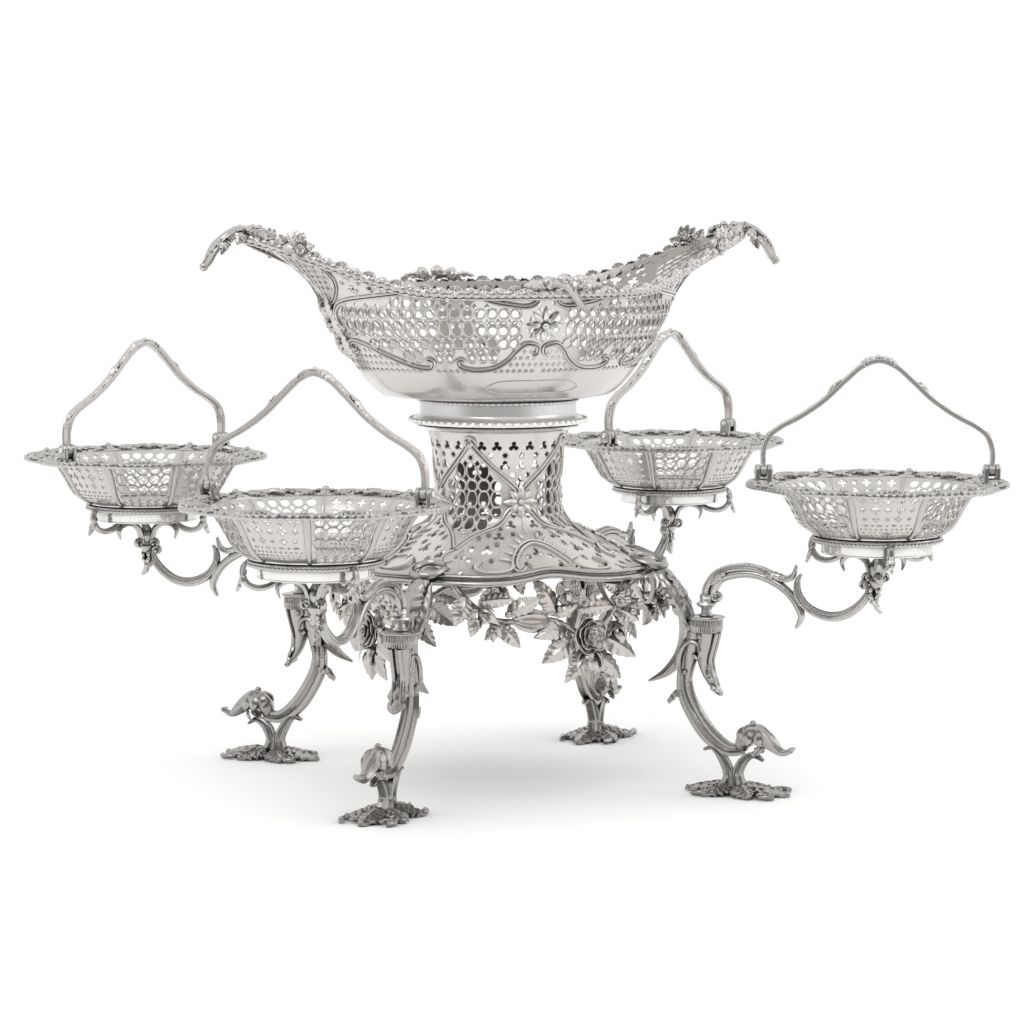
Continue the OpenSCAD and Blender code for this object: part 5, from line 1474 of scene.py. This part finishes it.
def side_spray():
    """A spray on a long side: two C-scrolls that dip below the rim, with three lobes and leaves over them."""
    spray = Shape()
    for rows in ([(-8, -97, 335, 1), (0, -98, 339, 2.4), (10, -98.4, 338, 2.8), (17, -97.8, 331, 2.6),
                  (24, -95.8, 322.6, 1.8), (29, -94, 319, 0.7)],
                 [(25, -97, 340, 1.4), (18.6, -98.4, 340.4, 2.4), (15.6, -98.8, 335.4, 2.4),
                  (18, -98, 329, 2.2), (23, -96.2, 323, 1.6), (29, -94, 319, 0.6)]):
        path = smooth(rows, 6)
        sweep(spray, path[:, :3], oval(path[:, 3], points=16, reeds=4, depth=0.28))
    share = np.linspace(0, 1, 9)
    lobe = np.column_stack([share, 4.6 * np.maximum(np.sin(np.pi * share)**0.6, 0.15)])
    for x, z, lean in ((-1.4, 335.4, -2.4), (9, 337.4, 0), (19.8, 336, 2.4)):
        revolved(spray, (x - lean, -97.2, z), (x + lean, -98, z + 8.4), lobe, 40, 8, 0.2)
    for way in (-1, 1):
        leaf(spray, (9 + way * 11, -97.4, 338), (9 + way * 27, -96.4, 338.6), (0, -0.6, 1), 7, 4, arch=0.14,
             thick=1.2)
    return spray


def make_border():
    shape = Shape()
    border_rope(shape)
    border_units(shape)
    shape.add_mirrored(shoulder_cluster())
    shape.add_copies(side_spray(), 2)
    piece("centre_border_cast", shape, "centre_basket", "cast_silver", "centre_border", look=PIERCED)


def make_centre_foot():
    shape = Shape()
    ring_of(shape, [(47.5, 242.7), (59, 242.6), (60.2, 243), (60.4, 244), (59.6, 244.9), (58, 245.4),
                    (57.4, 246.2), (55.4, 246.5), (54.2, 247.4), (53.4, 248.6), (53, 250), (53, 257.2),
                    (53.8, 257.8), (53.4, 258.4), (51.6, 258.5), (51.5, 246), (47.5, 245.8)])
    beads(shape, 59.4, 244.6, 64, 1.7)
    beads(shape, 54, 257.9, 90, 0.9)
    piece("centre_foot_turned", shape, "centre_basket", "plain_silver", "centre_foot", look=LIT_FOOT_SILVER)


def make_rosettes():
    """An eight-petalled rosette on the middle of each long side."""
    shape, flower = Shape(), Shape()
    middle = bowl_surface(SIDE_U, ROSETTE_V) * (0, -1, 1)
    out = unit(vec(0, -1, -0.4))
    up = unit(vec(0, -0.4, 1))
    heart = middle + out * 1.2
    for a in round_angles(8):
        way = vec(1, 0, 0) * np.cos(a) + up * np.sin(a)
        leaf(flower, heart + way * 2, heart + way * 12.6, out, 3.7, 0, arch=0.1, thick=1.8, cup=0.4)
    ball(flower, middle + out * 2.2, 2.4)
    shape.add_copies(flower, 2)
    piece("centre_rosettes_chased", shape, "centre_basket", "cast_silver", "centre_rosettes", look=PLAIN)


def make_terminals():
    """The drawn-out ends: a leafy scroll that curls over, with a ball lip."""
    shape, end = Shape(), Shape()
    bar(end, [(168, 368.6, 7, 1.6), (174, 371.6, 8, 2.2), (182, 373.4, 7.4, 2.6), (191, 369.4, 5.4, 2.8),
              (198, 361.4, 4.4, 2.8), (203, 352.6, 3.8, 2.6), (206.6, 348.4, 2.4, 1.6)], 6, 0.16)
    ball(end, (205.8, 0, 349.6), 3)
    ball(end, (200.4, 0, 360.4), 2.6)
    leaf(end, (171, 0, 373), (194, 0, 370), (0.2, 0, 1), 15, 6, arch=0.16, thick=1.6)
    leaf(end, (188, 0, 373), (205, 0, 352), (0.8, 0, 0.6), 9, 5, arch=0.14, roll=0.06, thick=1.6)
    for way in (-1, 1):
        leaf(end, (174, way * 4, 372), (166, way * 15, 370), (0.3, way * 0.3, 1), 11, 5, arch=0.2,
             roll=0.1, thick=1.4)
        leaf(end, (180, way * 4, 373), (186, way * 11, 365), (0.3, way, 0.6), 9, 4, arch=0.2, thick=1.4)
        leaf(end, (190, way * 3, 368), (196, way * 7.5, 358), (0.4, way, 0.4), 7, 4, arch=0.16, thick=1.2)
        ball(end, (170, way * 8, 374.4), 2.6)
        ball(end, (163, way * 13, 370.6), 2.4)
    shape.add_copies(end, 2)
    piece("centre_terminals_cast", shape, "centre_basket", "cast_silver", "centre_terminals")


# Festoons: a stalk hung below the skirt with a gourd, a rose, buds, berries and serrated leaves

FESTOON_Y = -96


def hung(x, z, out=0.0):
    return vec(x, FESTOON_Y - out, z)


def festoon_shape():
    shape = Shape()
    stalk = smooth([(-63, 143, -9, 2.4), (-54, 131, -4, 2.2), (-40, 121, -1, 2), (-26, 118.6, 0, 2),
                    (0, 118.6, 0, 2), (12, 114, 0, 2), (26, 107, 0, 2.2), (38, 114, -1, 2),
                    (48, 128, -4, 2.2), (54, 146, -9, 2.4)], 6)
    path = np.column_stack([stalk[:, 0], FESTOON_Y - stalk[:, 2], stalk[:, 1]])
    sweep(shape, path, oval(stalk[:, 3], points=12, reeds=4, depth=0.2))
    s = np.linspace(0, 1, 11)
    gourd = np.column_stack([s, np.maximum(8.4 * np.sin(np.pi * s)**0.55, 1.6)])
    revolved(shape, hung(-26, 119.6), hung(0, 118.2), gourd, 60, 10, 0.26)
    rose(shape, hung(26, 107.4, 3), (0.15, -1, 0.1), 12.6)
    # The open flower above the gourd, on its tube
    for k in range(5):
        a = np.radians(72 * k + 20)
        way = vec(np.cos(a), -0.1, np.sin(a))
        leaf(shape, hung(11.6, 137.6, 2) + way, hung(11.6, 137.6, 4) + way * 9, (0, -1, 0.2), 9.5, 5,
             arch=-0.1, thick=0.9, cup=-0.3, blunt=True)
    revolved(shape, hung(14, 120), hung(11.6, 137.6, 3.4), [(0, 1.4), (0.5, 2), (0.9, 3), (1, 2)], 14, 5, 0.2)
    # Leaves: where each starts and ends, how far its tip stands out, and its width
    for x, z, to_x, to_z, stand, width in (
            (-48, 133, -26, 134, 3, 11), (-36, 117, -21.6, 102, 3, 12), (-30, 124, -8, 134, 5, 13),
            (5, 121, -12, 147, 2, 14), (20, 125, 44, 127, 4, 12), (13, 115, -12, 108, 4, 13),
            (17, 107, -6, 91, 4, 16), (34, 108, 60, 92, 3, 15), (50, 139, 36, 142, 5, 11),
            (48, 124, 63, 116, 2, 11), (-58, 137, -67, 118, 2, 14), (-50, 129, -56, 111, 4, 12),
            (27, 98, 10.6, 77, 2, 13), (29, 98, 50, 78, 2, 14), (52, 142, 64, 131, 4, 11),
            (-32, 119, -46, 108, 3, 11), (24, 118, 32, 136, 1, 10), (2, 122, 18, 128, 4, 9)):
        leaf(shape, hung(x, z), hung(to_x, to_z, stand), (0.1, -1, 0.25), width, 6, arch=0.14, thick=1.2,
             cup=0.28, teeth=True)
    for x, z, to_x, to_z, r in ((-49, 127, -37, 118, 4.6), (-52, 122, -54, 112, 3.4),
                                (-41, 115, -40.6, 106, 3), (47, 112, 50, 99, 4.4), (27, 98, 27.4, 75, 7.4)):
        bud(shape, hung(x, z, 2), hung(to_x, to_z, 4), r)
    for x, z, r in ((63, 128, 3.3), (58, 122, 2.8), (45, 131, 3), (50, 134, 2.8), (54, 130, 3),
                    (48, 126.6, 2.6), (-30, 124, 2.4), (6, 126, 2.2)):
        ball(shape, hung(x, z, 3), r)
    rose(shape, hung(47.4, 129.6, 3), (0.2, -1, 0.2), 5.6, 2)
    return shape


def make_festoons():
    festoon = festoon_shape()
    for name, turn in SIDES.items():
        piece("festoon_" + name + "_cast", festoon, "frame", "cast_silver", "festoon_" + name, turn=turn,
              look=FOLIAGE)


make_stem()
make_moulding()
make_collar()
make_legs()
make_branches()
make_baskets()
make_bowl()
make_border()
make_centre_foot()
make_rosettes()
make_terminals()
make_festoons()


# Stage: floor, light and camera

FLOOR_SIZE = 1.7
LAMP_AIM = Vector((0, 0, 0.2))


def make_floor():
    half = FLOOR_SIZE / 2
    mesh = bpy.data.meshes.new("floor")
    corners = [(-half, -half, 0), (half, -half, 0), (half, half, 0), (-half, half, 0)]
    mesh.from_pydata(corners, [], [(0, 1, 2, 3)])
    floor = bpy.data.objects.new("floor", mesh)
    bpy.context.scene.collection.objects.link(floor)
    material = bpy.data.materials.new("pale_floor")
    graph = Graph(material)
    graph.fill(graph.nodes["Principled BSDF"],
               {"Base Color": (0.93, 0.93, 0.925, 1), "Roughness": 0.9, "Specular IOR Level": 0.1})
    mesh.materials.append(material)


def make_world():
    """A white studio: plain white to the camera, and to metal a bright room with a grey camera side."""
    world = bpy.data.worlds.new("studio")
    bpy.context.scene.world = world
    graph = Graph(world)
    rays = graph.add("ShaderNodeLightPath").outputs
    place = graph.add("ShaderNodeTexCoord").outputs["Generated"]
    axes = graph.add("ShaderNodeSeparateXYZ", {0: place})
    height = graph.add("ShaderNodeMapRange", {"Value": axes.outputs["Z"], "From Min": 0.15, "From Max": 0.7},
                       interpolation_type="SMOOTHSTEP")
    a = math.radians(CAMERA_AZIMUTH)
    facing = graph.add("ShaderNodeVectorMath", {0: place, 1: (math.sin(a), -math.cos(a), 0)},
                       operation="DOT_PRODUCT")
    opening = graph.add("ShaderNodeMapRange", {"Value": facing.outputs["Value"], "From Min": 0.3,
                                               "From Max": 0.9, "To Min": 1.0, "To Max": 0.2},
                        interpolation_type="SMOOTHSTEP")
    room = graph.add("ShaderNodeMath", {0: height.outputs["Result"], 1: opening.outputs["Result"]},
                     operation="MAXIMUM")
    # Only glossy and transmission rays see the room; the camera and the floor's light see plain white
    seen = graph.add("ShaderNodeMath", {0: rays["Is Glossy Ray"], 1: rays["Is Transmission Ray"]},
                     operation="MAXIMUM")
    inner = graph.add("ShaderNodeMath", {0: seen.outputs[0], 1: rays["Is Camera Ray"]},
                      operation="SUBTRACT", use_clamp=True)
    # The floor gets a little more light than the camera's white, so no horizon shows
    white = graph.add("ShaderNodeMapRange", {"Value": rays["Is Camera Ray"], "To Min": 1.25, "To Max": 1.0})
    light = graph.add("ShaderNodeMix", {"Factor": inner.outputs[0], "A": white.outputs["Result"],
                                        "B": room.outputs[0]})
    graph.fill(graph.nodes["Background"], {"Color": (1, 1, 1, 1), "Strength": light.outputs["Result"]})


def make_lamp(name, place, size, power):
    light = bpy.data.lights.new(name, "AREA")
    light.size = size
    light.energy = power
    lamp = bpy.data.objects.new(name, light)
    lamp.location = place
    lamp.rotation_euler = (LAMP_AIM - Vector(place)).to_track_quat("-Z", "Y").to_euler()
    bpy.context.scene.collection.objects.link(lamp)


def make_camera():
    data = bpy.data.cameras.new("camera")
    data.sensor_width = SENSOR
    data.lens = FOCAL_PIXELS / PHOTO_SIZE * SENSOR
    data.shift_x = (PHOTO_SIZE / 2 - AXIS_PIXEL) / PHOTO_SIZE
    camera = bpy.data.objects.new("camera", data)
    a = math.radians(CAMERA_AZIMUTH)
    away = CAMERA_DISTANCE * Vector((math.sin(a), -math.cos(a), 0))
    camera.location = (away + Vector((0, 0, CAMERA_HEIGHT))) * MM
    way = Vector((0, 0, LOOK_AT_HEIGHT * MM)) - camera.location
    camera.rotation_euler = way.to_track_quat("-Z", "Y").to_euler()
    bpy.context.scene.collection.objects.link(camera)
    bpy.context.scene.camera = camera


make_floor()
make_world()
make_lamp("key", (-1.6, -1.4, 2.2), size=1.6, power=12)
make_lamp("fill", (1.9, -1.0, 1.4), size=1.4, power=5)
make_camera()
bpy.context.scene.view_settings.view_transform = "Standard"
